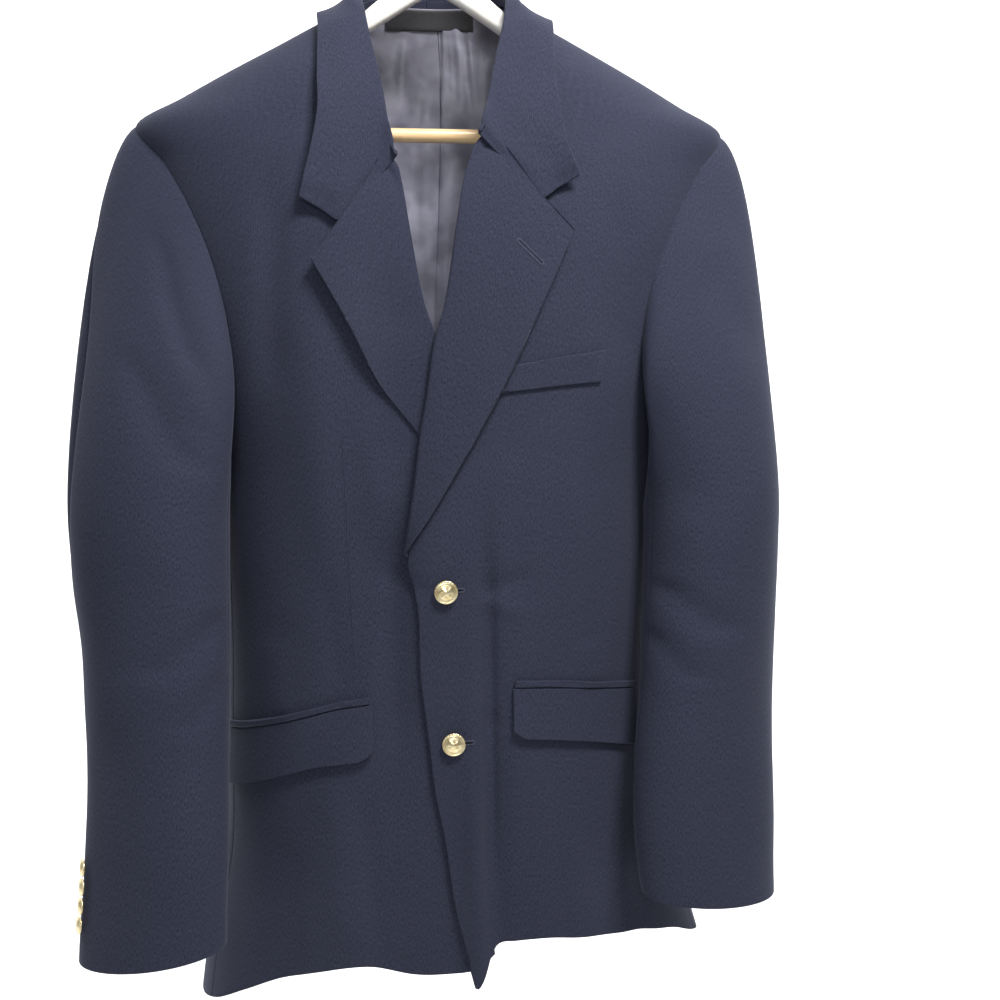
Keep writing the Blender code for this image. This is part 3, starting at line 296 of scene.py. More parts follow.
# Pocket pieces: distance to the right and height of the top inner, top outer, bottom outer, bottom inner
FLAP_LEFT = [(0.0390, -0.4212), (0.1460, -0.4398), (0.1440, -0.4850), (0.0390, -0.4600)]
FLAP_RIGHT = [(-0.0672, -0.4302), (-0.1725, -0.4637), (-0.1735, -0.5085), (-0.0662, -0.4715)]
JET_LEFT = [(0.0405, -0.4152), (0.1460, -0.4337), (0.1460, -0.4392), (0.0400, -0.4206)]
JET_RIGHT = [(-0.0682, -0.4245), (-0.1725, -0.4575), (-0.1725, -0.4631), (-0.0680, -0.4296)]
WELT = [(0.0200, -0.1832), (0.1135, -0.1698), (0.1093, -0.1935), (0.0150, -0.2025)]

# How far the middle of each pocket piece is arched up, at its top and at its bottom
FLAP_LEFT_ARCH = (0.0030, 0.0036)
FLAP_RIGHT_ARCH = (0.0042, 0.0065)
JET_LEFT_ARCH = (0.0030, 0.0030)
JET_RIGHT_ARCH = (0.0042, 0.0042)
WELT_ARCH = (0.0006, 0.0010)

# Front buttons: name, distance to the right, height
FRONT_BUTTONS = [("front_button_upper", -0.0111, -0.3449), ("front_button_lower", -0.0067, -0.4608)]
CUFF_BUTTON_FIRST = 0.0300
CUFF_BUTTON_STEP = 0.0136
CUFF_BUTTON_TURN = {1: 9.0, -1: 15.0}

# Folds of the fronts: distance right and height of the top, the same of the bottom, depth, half width
FOLDS = [
    (0.0255, -0.330, 0.0248, -0.660, -0.0045, 0.0110),
    (0.0080, -0.420, 0.0120, -0.670, 0.0045, 0.0120),
    (-0.0150, -0.235, -0.1050, -0.460, -0.0045, 0.0160),
    (0.0850, -0.480, 0.0950, -0.670, 0.0020, 0.0200),
    (-0.1150, -0.500, -0.1200, -0.670, 0.0020, 0.0200),
    (-0.0600, -0.520, -0.0550, -0.670, -0.0015, 0.0180),
]

# Wood of the hanger: distance from the middle, top, bottom, half thickness
ARM = [
    (0.0000, 0.1330, 0.1050, 0.0070),
    (0.0200, 0.1195, 0.0935, 0.0070),
    (0.0400, 0.1010, 0.0810, 0.0075),
    (0.0550, 0.0890, 0.0715, 0.0080),
    (0.0700, 0.0785, 0.0605, 0.0085),
    (0.0850, 0.0705, 0.0500, 0.0090),
    (0.1100, 0.0603, 0.0370, 0.0095),
    (0.1400, 0.0453, 0.0215, 0.0100),
    (0.1680, 0.0311, 0.0080, 0.0105),
    (0.1690, 0.0306, -0.0100, 0.0105),
    (0.1900, 0.0200, -0.0110, 0.0105),
    (0.2050, 0.0118, -0.0100, 0.0100),
    (0.2120, 0.0045, -0.0070, 0.0085),
]

# Soft creases that only the cloth has: distance right and height of each end, depth, half width
CREASES = [
    (0.0190, -0.290, 0.0185, -0.606, -0.0045, 0.0068),
    (0.0240, -0.320, 0.0245, -0.575, -0.0016, 0.0026),
    (0.0090, -0.380, 0.0130, -0.640, 0.0016, 0.0080),
    (-0.128, -0.040, -0.134, -0.200, -0.0030, 0.012),
    (0.132, -0.045, 0.128, -0.190, -0.0024, 0.013),
    (-0.112, -0.120, -0.100, -0.330, 0.0024, 0.018),
    (-0.070, -0.200, -0.052, -0.330, 0.0018, 0.012),
    (0.112, -0.140, 0.120, -0.330, 0.0020, 0.018),
    (0.083, -0.215, 0.088, -0.400, 0.0014, 0.014),
    (0.040, -0.240, 0.026, -0.340, 0.0016, 0.012),
    (-0.048, -0.280, -0.050, -0.480, -0.0055, 0.013),
    (-0.098, -0.330, -0.092, -0.420, -0.0013, 0.009),
    (-0.060, -0.330, -0.020, -0.348, -0.0016, 0.007),
    (0.056, -0.335, 0.012, -0.348, -0.0016, 0.007),
    (0.050, -0.365, 0.010, -0.352, 0.0014, 0.006),
    (0.030, -0.440, 0.008, -0.462, -0.0012, 0.006),
    (0.100, -0.390, 0.108, -0.430, 0.0018, 0.012),
    (-0.140, -0.380, -0.136, -0.450, 0.0018, 0.014),
    (-0.100, -0.480, -0.088, -0.640, 0.0022, 0.014),
    (-0.075, -0.490, -0.064, -0.650, -0.0016, 0.010),
    (-0.135, -0.520, -0.142, -0.660, -0.0018, 0.012),
    (0.120, -0.470, 0.132, -0.640, 0.0020, 0.014),
    (0.060, -0.470, 0.062, -0.640, 0.0014, 0.013),
]
# The same on the back
BACK_CREASES = [
    (-0.060, 0.075, -0.120, -0.060, -0.0022, 0.016),
    (0.062, 0.075, 0.115, -0.055, -0.0020, 0.015),
    (-0.135, -0.060, -0.120, -0.260, 0.0026, 0.018),
    (0.138, -0.050, 0.118, -0.240, 0.0024, 0.019),
    (-0.050, -0.320, -0.075, -0.680, 0.0022, 0.024),
    (0.056, -0.300, 0.068, -0.690, 0.0020, 0.026),
    (-0.020, -0.420, -0.012, -0.690, -0.0016, 0.016),
    (0.110, -0.420, 0.130, -0.680, -0.0020, 0.022),
    (-0.115, -0.400, -0.140, -0.690, -0.0019, 0.022),
    (0.085, -0.010, -0.010, -0.060, -0.0010, 0.012),
]

# Creases of the lining: distance right, top, bottom, depth, half width
LINING_CREASES = [
    (-0.0290, 0.095, -0.020, 0.0046, 0.0052),
    (0.0008, 0.088, -0.500, -0.0016, 0.0012),
    (-0.0190, 0.060, -0.140, -0.0016, 0.0060),
    (-0.0100, 0.040, -0.230, 0.0030, 0.0050),
    (0.0140, 0.100, -0.010, 0.0030, 0.0042),
    (0.0085, 0.000, -0.300, 0.0028, 0.0060),
    (0.0285, 0.098, 0.000, 0.0050, 0.0040),
    (0.0230, -0.010, -0.220, 0.0034, 0.0060),
    (0.0410, 0.080, -0.240, 0.0036, 0.0070),
    (-0.0480, 0.060, -0.300, 0.0036, 0.0090),
    (0.0750, 0.030, -0.450, 0.0036, 0.0140),
    (-0.0850, 0.020, -0.500, 0.0036, 0.0150),
    (-0.0150, -0.200, -0.600, 0.0034, 0.0120),
    (0.0300, -0.260, -0.600, 0.0034, 0.0120),
]

# Creases of the sleeves: way and turn of each end, depth, half width in metres
SLEEVE_CREASES = {
    1: [
        (0.08, 70.0, 0.22, 40.0, -0.0024, 0.012),
        (0.10, 118.0, 0.34, 96.0, -0.0026, 0.014),
        (0.24, 60.0, 0.60, 58.0, 0.0020, 0.018),
        (0.30, 96.0, 0.62, 90.0, 0.0018, 0.016),
        (0.44, 118.0, 0.54, 70.0, -0.0030, 0.011),
        (0.53, 122.0, 0.62, 84.0, -0.0022, 0.010),
        (0.62, 60.0, 0.97, 66.0, -0.0020, 0.018),
        (0.66, 96.0, 0.95, 92.0, 0.0014, 0.014),
        (0.20, 250.0, 0.50, 262.0, 0.0024, 0.020),
        (0.42, 300.0, 0.55, 255.0, -0.0028, 0.012),
        (0.60, 200.0, 0.95, 230.0, 0.0020, 0.020),
    ],
    -1: [
        (0.06, 56.0, 0.15, 92.0, -0.0026, 0.009),
        (0.17, 60.0, 0.26, 100.0, -0.0028, 0.009),
        (0.11, 70.0, 0.20, 104.0, 0.0018, 0.009),
        (0.28, 50.0, 0.66, 56.0, 0.0020, 0.016),
        (0.30, 92.0, 0.66, 86.0, 0.0018, 0.016),
        (0.46, 118.0, 0.56, 72.0, -0.0030, 0.011),
        (0.56, 120.0, 0.65, 84.0, -0.0022, 0.010),
        (0.60, 44.0, 0.97, 52.0, -0.0020, 0.018),
        (0.68, 90.0, 0.95, 86.0, 0.0014, 0.014),
        (0.22, 255.0, 0.52, 250.0, 0.0024, 0.020),
        (0.44, 305.0, 0.57, 262.0, -0.0028, 0.012),
        (0.62, 205.0, 0.95, 235.0, 0.0020, 0.020),
    ],
}

# Pressed darts of the fronts, low ridges: x and height of each end. The first is on the front underneath
DARTS = [(-0.0852, -0.2230, -0.0801, -0.4055), (0.0663, -0.2500, 0.0580, -0.3550)]


def hermite(t, first, lead, last, trail):
    # A smooth step from one value to the next, with the slope at each end
    h0 = 2 * t ** 3 - 3 * t ** 2 + 1
    h1 = t ** 3 - 2 * t ** 2 + t
    h2 = -2 * t ** 3 + 3 * t ** 2
    h3 = t ** 3 - t ** 2
    return h0 * first + h1 * lead + h2 * last + h3 * trail


def curve(rows, column):
    # The value of a table's column at any point between its rows, on a smooth curve
    rows = sorted(rows)
    keys = np.array([row[0] for row in rows], float)
    vals = np.array([row[column] for row in rows], float)
    slope = np.empty_like(vals)
    slope[1:-1] = (vals[2:] - vals[:-2]) / (keys[2:] - keys[:-2])
    slope[0] = (vals[1] - vals[0]) / (keys[1] - keys[0])
    slope[-1] = (vals[-1] - vals[-2]) / (keys[-1] - keys[-2])

    def value(at):
        at = np.clip(at, keys[0], keys[-1])
        k = np.clip(np.searchsorted(keys, at, side="right") - 1, 0, len(keys) - 2)
        span = keys[k + 1] - keys[k]
        t = (at - keys[k]) / span
        return hermite(t, vals[k], slope[k] * span, vals[k + 1], slope[k + 1] * span)

    return value


def straight(rows, column):
    rows = sorted(rows)
    keys = [row[0] for row in rows]
    vals = [row[column] for row in rows]
    return lambda at: np.interp(at, keys, vals)


def ramp(value, start, end):
    t = np.clip((value - start) / (end - start), 0.0, 1.0)
    return t * t * (3 - 2 * t)


def unit(vectors):
    return vectors / np.maximum(np.linalg.norm(vectors, axis=-1, keepdims=True), 1e-12)


def stroke(x, z, ends, width):
    # 1 on a straight stroke between two points, falling away across it and softly at its ends
    x0, z0, x1, z1 = ends
    dx = x1 - x0
    dz = z1 - z0
    long = dx * dx + dz * dz
    t = ((x - x0) * dx + (z - z0) * dz) / long
    near = np.clip(t, 0.0, 1.0)
    away = (x - x0 - dx * near) ** 2 + (z - z0 - dz * near) ** 2
    taper = ramp(t, -0.05, 0.25) * (1 - ramp(t, 0.75, 1.05))
    return np.exp(-away / width ** 2) * taper


HALF = curve(BODY, 1)
FRONT_DEEP = curve(BODY, 2)
BACK_DEEP = curve(BODY, 3)
SQUARE = curve(BODY, 4)
SHIFT = curve(BODY, 5)
HEM_AT = curve(HEM, 1)
OVER_HEM_AT = curve(OVER_HEM, 1)
OVER_EDGE_AT = curve(OVER_EDGE, 1)
UNDER_EDGE_AT = curve(UNDER_EDGE, 1)
BACK_NECK_AT = straight(BACK_NECK, 1)
ARMHOLE_HEIGHT = curve(ARMHOLE, 1)
ARMHOLE_TURN = curve(ARMHOLE, 2)
ARMHOLE_AT = curve([(row[1], row[2]) for row in ARMHOLE], 1)
HIND_AT = {side: curve(rows, 1) for side, rows in HIND_SEAM.items()}


def relief(x, z):
    # How far the folds bring the front forward at a point
    total = np.zeros(np.broadcast(x, z).shape)
    for x0, z0, x1, z1, depth, width in FOLDS:
        t = (z - z0) / (z1 - z0)
        middle = x0 + (x1 - x0) * t
        along = ramp(t, 0.0, 0.45) * (1 - ramp(t, 0.80, 1.35))
        total += depth * along * np.exp(-((x - middle) / width) ** 2)
    for x0, z0, x1, z1, depth, width in CREASES:
        total += depth * stroke(x, z, (x0, z0, x1, z1), width)
    total += 0.00022 * np.sin(61 * x + 23 * z + 1.3) * np.sin(31 * z - 17 * x + 0.4)
    total += 0.00014 * np.sin(127 * x - 71 * z + 2.2) * np.sin(83 * z + 29 * x)
    return total


def back_relief(x, z):
    total = np.zeros(np.broadcast(x, z).shape)
    for x0, z0, x1, z1, depth, width in BACK_CREASES:
        total += depth * stroke(x, z, (x0, z0, x1, z1), width)
    return total


def tuck(x, z):
    # How far the under front lies behind the front that laps over it
    across = ramp(x, -0.105, -0.045)
    level = ramp(z, -0.345, -0.315) * (1 - ramp(z, -0.150, -0.090))
    fade = 1 - ramp(z, -0.110, -0.040)
    return across * (0.0047 * fade + 0.0022 * level)


def body(angle, height, layer="over"):
    angle, height = np.broadcast_arrays(np.asarray(angle, float), np.asarray(height, float))
    power = SQUARE(height)
    turn = np.radians(angle)
    s = np.sin(turn)
    c = np.cos(turn)
    x = SHIFT(height) + HALF(height) * np.sign(s) * np.abs(s) ** (2 / power)
    push = relief(x, height) * ramp(c, 0.05, 0.45)
    if layer == "under":
        push = push - tuck(x, height)
    push_back = back_relief(x, height) * ramp(-c, 0.05, 0.45)
    deep = np.abs(c) ** (2 / power)
    y = np.where(c >= 0, -FRONT_DEEP(height) * deep - push, BACK_DEEP(height) * deep + push_back)
    return np.stack([x, y, height], -1)


def angle_of(x, height):
    # Angle on the front of the body at a distance to the right
    x, height = np.broadcast_arrays(np.asarray(x, float), np.asarray(height, float))
    x = x - SHIFT(height)
    share = np.minimum(1.0, np.abs(x) / HALF(height)) ** (SQUARE(height) / 2)
    return np.copysign(np.degrees(np.arcsin(share)), x)


def body_normal(angle, height, layer="over"):
    across = body(angle + 0.5, height, layer) - body(angle - 0.5, height, layer)
    up = body(angle, height + 0.0015, layer) - body(angle, height - 0.0015, layer)
    return unit(np.cross(across, up))


def front(x, z, lift, layer="over"):
    # A point on the front, moved out
    turn = angle_of(x, z)
    x, z, lift = np.broadcast_arrays(x, z, lift)
    return body(turn, z, layer) + body_normal(turn, z, layer) * lift[..., None]


def clear_of_body(points, lift, layer="over"):
    # Moves points out until they stand off the body by the lift
    for _ in range(3):
        x, y, z = points[..., 0], points[..., 1], points[..., 2]
        power = SQUARE(z)
        deep = np.where(y < 0, FRONT_DEEP(z), BACK_DEEP(z))
        across = x - SHIFT(z)
        sx = np.copysign(np.abs(across / HALF(z)) ** (power / 2), across)
        sy = np.copysign(np.abs(y / deep) ** (power / 2), -y)
        turn = np.degrees(np.arctan2(sx, sy))
        base = body(turn, z, layer)
        out = body_normal(turn, z, layer)
        short = lift - np.sum((points - base) * out, -1)
        points = points + out * np.maximum(short, 0.0)[..., None]
    return points


def row_height(level, angle, layer):
    # Below the hem's reach the rows follow the hem
    height = HEM_AT(angle)
    if layer == "over":
        x = body(angle, height)[..., 0]
        mix = ramp(angle, 40, 60)
        lapped = OVER_HEM_AT(x) * (1 - mix) + height * mix
        height = np.where((angle >= 0) & (angle < 60), lapped, height)
        height = np.where((angle > -20) & (angle < 0), OVER_HEM[0][1], height)
    if layer == "under":
        height = height + UNDER_HEM_LIFT * ramp(angle, -2.0, 8.0)
    share = np.maximum(0.0, 1 - (level - HEM_LEVEL) / HEM_REACH)
    return level + (height - HEM_LEVEL) * share


def armhole_angle(height, side, face):
    spread = (90.0 - ARMHOLE_AT(height)) * ARMHOLE_SPREAD[side]
    return 90.0 - spread if face == "front" else 90.0 + spread * ARMHOLE_BACK


def armhole_point(turn, side):
    t = np.abs((turn + 180.0) % 360.0 - 180.0)
    forward = turn % 360.0 <= 180.0
    height = ARMHOLE_HEIGHT(t)
    spread = (90.0 - ARMHOLE_TURN(t)) * ARMHOLE_SPREAD[side]
    angle = np.where(forward, 90.0 - spread, 90.0 + spread * ARMHOLE_BACK)
    return body(angle * side, height, "plain")


def finer(levels, step):
    # The same levels with more between them, none further apart than the step
    out = [levels[0]]
    for low, high in zip(levels, levels[1:]):
        count = max(2, int(math.ceil((high - low) / step)))
        out += [low + (high - low) * k / count for k in range(1, count + 1)]
    return np.array(out)


# Meshes
made = {}
BUILT = {}


def arc(grid, axis):
    steps = np.linalg.norm(np.diff(grid, axis=axis), axis=-1)
    zero = np.zeros_like(np.take(steps, [0], axis=axis))
    return np.concatenate([zero, np.cumsum(steps, axis=axis)], axis=axis)


def grid_normals(grid):
    up = np.gradient(grid, axis=0)
    across = np.gradient(grid, axis=1)
    return unit(np.cross(across, up))


def make_mesh(name, points, faces, uvs, mat):
    mesh = bpy.data.meshes.new(name)
    lowered = np.array(points, float)
    lowered[:, 2] -= HOOK_RISE
    mesh.from_pydata(lowered.tolist(), [], faces)
    mesh.polygons.foreach_set("use_smooth", np.ones(len(faces), bool))
    layer = mesh.uv_layers.new(name="cloth")
    index = np.empty(len(mesh.loops), int)
    mesh.loops.foreach_get("vertex_index", index)
    layer.data.foreach_set("uv", np.asarray(uvs, float)[index].ravel())
    mesh.materials.append(mat)
    mesh.update()
    thing = bpy.data.objects.new(name, mesh)
    bpy.context.scene.collection.objects.link(thing)
    return thing


def ring_faces(count, turns):
    # Faces between rings of points one after another, with a cap at both ends
    faces = []
    for i in range(count - 1):
        for j in range(turns):
            n = (j + 1) % turns
            faces.append((i * turns + j, i * turns + n, (i + 1) * turns + n, (i + 1) * turns + j))
    faces.append(tuple(range(turns - 1, -1, -1)))
    faces.append(tuple((count - 1) * turns + j for j in range(turns)))
    return faces


def solid_mesh(name, points, faces, mat):
    return make_mesh(name, points, faces, points[:, [0, 2]], mat)


def shell(name, outer, inner, mat, flip=False):
    # Closed thin cloth between two grids, with a round edge all the way round
    outer = np.array(outer, float)
    inner = np.array(inner, float)
    rows, cols = outer.shape[:2]
    across = arc(outer, 1)
    uv = np.stack([across - across[:, cols // 2:cols // 2 + 1], arc(outer, 0)], -1)
    out_dir = np.zeros_like(outer)
    out_dir[0] += unit(outer[0] - outer[1])
    out_dir[-1] += unit(outer[-1] - outer[-2])
    out_dir[:, 0] += unit(outer[:, 0] - outer[:, 1])
    out_dir[:, -1] += unit(outer[:, -1] - outer[:, -2])
    out_dir = unit(out_dir)
    loop = [(0, j) for j in range(cols)]
    loop += [(i, cols - 1) for i in range(1, rows)]
    loop += [(rows - 1, j) for j in range(cols - 2, -1, -1)]
    loop += [(i, 0) for i in range(rows - 2, 0, -1)]
    li = np.array([p[0] for p in loop])
    lj = np.array([p[1] for p in loop])
    radius = np.linalg.norm(outer[li, lj] - inner[li, lj], axis=-1, keepdims=True) / 2
    move = out_dir[li, lj] * radius
    outer[li, lj] -= move
    inner[li, lj] -= move
    top = outer[li, lj]
    low = inner[li, lj]
    middle = (top + low) / 2
    half = (top - low) / 2
    points = [outer.reshape(-1, 3), inner.reshape(-1, 3)]
    flat_uv = uv.reshape(-1, 2)
    uvs = [flat_uv, flat_uv]
    for turn in (45, 90, 135):
        t = math.radians(turn)
        points.append(middle + half * math.cos(t) + out_dir[li, lj] * radius * math.sin(t))
        uvs.append(uv[li, lj])
    count = rows * cols
    a = (np.arange(rows - 1)[:, None] * cols + np.arange(cols - 1)[None, :]).ravel()
    quads = np.stack([a, a + 1, a + cols + 1, a + cols], -1)
    faces = [quads, count + quads[:, ::-1]]
    ring = li * cols + lj
    rings = [ring] + [2 * count + k * len(loop) + np.arange(len(loop)) for k in range(3)] + [count + ring]
    for first, second in zip(rings, rings[1:]):
        faces.append(np.stack([first, second, np.roll(second, -1), np.roll(first, -1)], -1))
    faces = np.concatenate(faces)
    if flip:
        faces = faces[:, ::-1]
    thing = make_mesh(name, np.concatenate(points), faces.tolist(), np.concatenate(uvs), mat)
    BUILT[name] = outer
    return thing


def panel(name, levels, bounds, cols, layer, mat, power=1.0, from_far=False):
    levels = np.asarray(levels)
    low, high = bounds(levels)
    t = np.linspace(0.0, 1.0, cols + 1)
    share = 1 - (1 - t) ** power if from_far else t ** power
    angle = low[:, None] + (high - low)[:, None] * share[None, :]
    level = np.broadcast_to(levels[:, None], angle.shape)
    height = np.where(level <= HEM_LEVEL + HEM_REACH, row_height(level, angle, layer), level)
    out = body_normal(angle, height, layer)
    outer = body(angle, height, layer)
    return shell(name, outer, outer - out * SHELL, mat)


def front_bounds(side, edge_at):
    def bounds(level):
        height = np.maximum(level, -0.650)
        edge = angle_of(edge_at(height), height)
        furthest = np.where(level < -0.2, SIDE_SEAM_FRONT, 90.0)
        low_arm = np.minimum(armhole_angle(level, side, "front"), furthest)
        far = np.where(level < -0.2365, SIDE_SEAM_FRONT, np.where(level < 0.0, low_arm, 90.0)) * side
        return (edge, far) if side > 0 else (far, edge)
    return bounds


def back_outer(level, side):
    neck = 180.0 - angle_of(BACK_NECK_AT(level), level)
    out = np.where(level <= SHOULDER_NECK + 0.0005, 90.0, neck)
    out = np.where(level < 0.0, armhole_angle(level, side, "back"), out)
    return np.where(level < -0.2195, SIDE_SEAM_BACK, out)


def back_bounds(side):
    def bounds(level):
        far = back_outer(level, side)
        seam = np.full(level.shape, 180.0)
        return (far, seam) if side > 0 else (-seam, -far)
    return bounds


# Materials
def node(mat, kind, **inputs):
    made = mat.node_tree.nodes.new(kind)
    for key, value in inputs.items():
        made.inputs[key.replace("_", " ")].default_value = value
    return made


def principled(name, colour, rough, **rest):
    mat = bpy.data.materials.new(name)
    mat.use_nodes = True
    shader = mat.node_tree.nodes["Principled BSDF"]
    shader.inputs["Base Color"].default_value = (*colour, 1.0)
    shader.inputs["Roughness"].default_value = rough
    for key, value in rest.items():
        shader.inputs[key.replace("_", " ")].default_value = value
    return mat, shader


def blend_colours(mat, factor, low, high, start=0.0, end=1.0):
    made = node(mat, "ShaderNodeValToRGB")
    made.color_ramp.elements[0].position = start
    made.color_ramp.elements[1].position = end
    made.color_ramp.elements[0].color = (*low, 1.0)
    made.color_ramp.elements[1].color = (*high, 1.0)
    mat.node_tree.links.new(factor, made.inputs["Fac"])
    return made.outputs["Color"]


def multiply(mat, first, second, share):
    made = node(mat, "ShaderNodeMix")
    made.data_type = "RGBA"
    made.blend_type = "MULTIPLY"
    made.inputs["Factor"].default_value = share
    mat.node_tree.links.new(first, made.inputs["A"])
    mat.node_tree.links.new(second, made.inputs["B"])
    return made.outputs["Result"]


def mapped(mat, source, turn=0.0, scale=(1.0, 1.0, 1.0)):
    place = node(mat, "ShaderNodeTexCoord")
    move = node(mat, "ShaderNodeMapping")
    move.inputs["Rotation"].default_value = (0.0, 0.0, turn)
    move.inputs["Scale"].default_value = scale
    mat.node_tree.links.new(place.outputs[source], move.inputs["Vector"])
    return move.outputs["Vector"]


def noise(mat, vector, scale, detail=3.0, rough=0.55):
    made = node(mat, "ShaderNodeTexNoise", Scale=scale, Detail=detail, Roughness=rough)
    mat.node_tree.links.new(vector, made.inputs["Vector"])
    return made.outputs["Fac"]


def bump(mat, shader, layers):
    # Bumps one on another: height, strength, distance
    last = None
    for height, strength, distance in layers:
        made = node(mat, "ShaderNodeBump", Strength=strength, Distance=distance)
        mat.node_tree.links.new(height, made.inputs["Height"])
        if last is not None:
            mat.node_tree.links.new(last, made.inputs["Normal"])
        last = made.outputs["Normal"]
    mat.node_tree.links.new(last, shader.inputs["Normal"])


def twill(name, dark, light, rough=0.88):
    mat, shader = principled(name, light, rough, Sheen_Weight=0.10, Sheen_Roughness=0.45)
    shader.inputs["Sheen Tint"].default_value = (0.62, 0.66, 0.85, 1.0)
    shader.inputs["Specular IOR Level"].default_value = 0.16
    rib = node(mat, "ShaderNodeTexWave", Scale=330.0, Distortion=0.8, Detail=2.0)
    rib.inputs["Detail Scale"].default_value = 2.0
    mat.node_tree.links.new(mapped(mat, "UV", 0.95), rib.inputs["Vector"])
    fibre = noise(mat, mapped(mat, "UV", 0.0, (1.0, 0.35, 1.0)), 1100.0, 4.0, 0.65)
    cloudy = noise(mat, mapped(mat, "Object"), 9.0, 3.0)
    colour = blend_colours(mat, fibre, dark, light, 0.30, 0.70)
    patches = blend_colours(mat, cloudy, (0.86, 0.87, 0.90), (1.0, 1.0, 1.0), 0.35, 0.65)
    colour = multiply(mat, colour, patches, 0.7)
    mat.node_tree.links.new(colour, shader.inputs["Base Color"])
    bump(mat, shader, [(cloudy, 0.10, 0.002), (rib.outputs["Fac"], 0.10, 0.0002), (fibre, 0.08, 0.0002)])
    return mat


def satin(name):
    # Crumpled satin with small puckers and fine threads; its colour holds painted highlights in wide soft
    # patches and painted light that makes it paler towards the bottom
    mat, shader = principled(name, (0.20, 0.20, 0.24), 0.42, Sheen_Weight=0.12)
    shader.inputs["Specular IOR Level"].default_value = 0.40
    shine = noise(mat, mapped(mat, "Object", 0.6, (1.0, 0.4, 1.0)), 38.0, 2.0, 0.40)
    pucker = noise(mat, mapped(mat, "Object", -0.5, (1.0, 0.4, 0.7)), 80.0, 2.0, 0.5)
    weave = noise(mat, mapped(mat, "UV", 0.0, (1.0, 0.10, 1.0)), 2200.0, 2.0)
    # Painted highlights and shade: the colour is paler and darker in the same wide patches that bump the
    # folds
    colour = blend_colours(mat, shine, (0.44, 0.44, 0.55), (0.68, 0.68, 0.83), 0.42, 0.58)
    threads = blend_colours(mat, weave, (0.84, 0.84, 0.86), (1.0, 1.0, 1.0), 0.30, 0.70)
    colour = multiply(mat, colour, threads, 0.6)
    # Painted light: the colour is made brighter towards the bottom of the lining
    height = node(mat, "ShaderNodeSeparateXYZ")
    mat.node_tree.links.new(mapped(mat, "Object"), height.inputs["Vector"])
    fall = node(mat, "ShaderNodeMapRange")
    fall.inputs["From Min"].default_value = -0.34
    fall.inputs["From Max"].default_value = -0.15
    mat.node_tree.links.new(height.outputs["Z"], fall.inputs["Value"])
    shade = blend_colours(mat, fall.outputs["Result"], (0.86, 0.86, 0.87), (0.30, 0.30, 0.305))
    mat.node_tree.links.new(multiply(mat, colour, shade, 1.0), shader.inputs["Base Color"])
    bump(mat, shader, [(shine, 0.50, 0.006), (pucker, 0.18, 0.002), (weave, 0.10, 0.0001)])
    return mat


def woven_label(name):
    mat, shader = principled(name, (0.012, 0.012, 0.014), 0.45, Sheen_Weight=0.15)
    weave = node(mat, "ShaderNodeTexWave", Scale=700.0, Distortion=0.6)
    mat.node_tree.links.new(mapped(mat, "UV", 0.0), weave.inputs["Vector"])
    grain = noise(mat, mapped(mat, "UV", 0.0, (0.2, 1.0, 1.0)), 1400.0, 2.0)
    colour = blend_colours(mat, grain, (0.008, 0.008, 0.010), (0.022, 0.022, 0.026), 0.3, 0.7)
    mat.node_tree.links.new(colour, shader.inputs["Base Color"])
    bump(mat, shader, [(weave.outputs["Fac"], 0.25, 0.0002), (grain, 0.2, 0.0002)])
    return mat


def wood(name, dark, light):
    mat, shader = principled(name, light, 0.36, Coat_Weight=0.35, Coat_Roughness=0.18)
    grain = noise(mat, mapped(mat, "Object", 0.0, (0.05, 1.0, 1.0)), 420.0, 5.0, 0.6)
    rings = node(mat, "ShaderNodeTexWave", Scale=55.0, Distortion=5.0, Detail=3.0)
    mat.node_tree.links.new(mapped(mat, "Object", 0.3, (0.06, 1.0, 1.0)), rings.inputs["Vector"])
    colour = blend_colours(mat, grain, dark, light, 0.32, 0.66)
    bands = blend_colours(mat, rings.outputs["Fac"], (0.90, 0.86, 0.80), (1.0, 1.0, 1.0), 0.2, 0.7)
    mat.node_tree.links.new(multiply(mat, colour, bands, 0.6), shader.inputs["Base Color"])
    bump(mat, shader, [(grain, 0.12, 0.0003)])
    return mat


def metal(name, dark, light, rough):
    mat, shader = principled(name, light, rough, Metallic=1.0)
    wear = noise(mat, mapped(mat, "Object"), 260.0, 3.0)
    fine = noise(mat, mapped(mat, "Object"), 2400.0, 2.0)
    colour = blend_colours(mat, wear, dark, light, 0.35, 0.62)
    mat.node_tree.links.new(colour, shader.inputs["Base Color"])
    spread = node(mat, "ShaderNodeMapRange")
    spread.inputs["To Min"].default_value = rough * 0.8
    spread.inputs["To Max"].default_value = rough * 1.35
    mat.node_tree.links.new(wear, spread.inputs["Value"])
    mat.node_tree.links.new(spread.outputs["Result"], shader.inputs["Roughness"])
    bump(mat, shader, [(fine, 0.06, 0.0001)])
    return mat


CLOTH = twill("navy_twill_cloth", (0.013, 0.015, 0.028), (0.043, 0.047, 0.079))
THREAD = twill("navy_thread", (0.040, 0.044, 0.066), (0.085, 0.090, 0.125), 0.7)
SATIN = satin("grey_satin_cloth")
# Near-black cloth for painted shade in the buttonhole slits and along a dart
SHADE = twill("navy_shade", (0.004, 0.004, 0.006), (0.008, 0.008, 0.012), 0.95)
LABEL = woven_label("black_label_cloth")
WOOD_BAR = wood("pale_wood_bar", (0.82, 0.54, 0.27), (0.98, 0.73, 0.42))
# The arms are the bar's pale wood made near-white: a painted highlight for the strong light on them
LIT_WOOD_ARMS = wood("pale_wood_arms_lit", (0.86, 0.85, 0.83), (0.94, 0.935, 0.92))
BRASS = metal("bright_brass", (0.78, 0.62, 0.32), (0.98, 0.87, 0.56), 0.30)
STEEL = metal("bright_steel", (0.46, 0.46, 0.47), (0.66, 0.66, 0.68), 0.20)

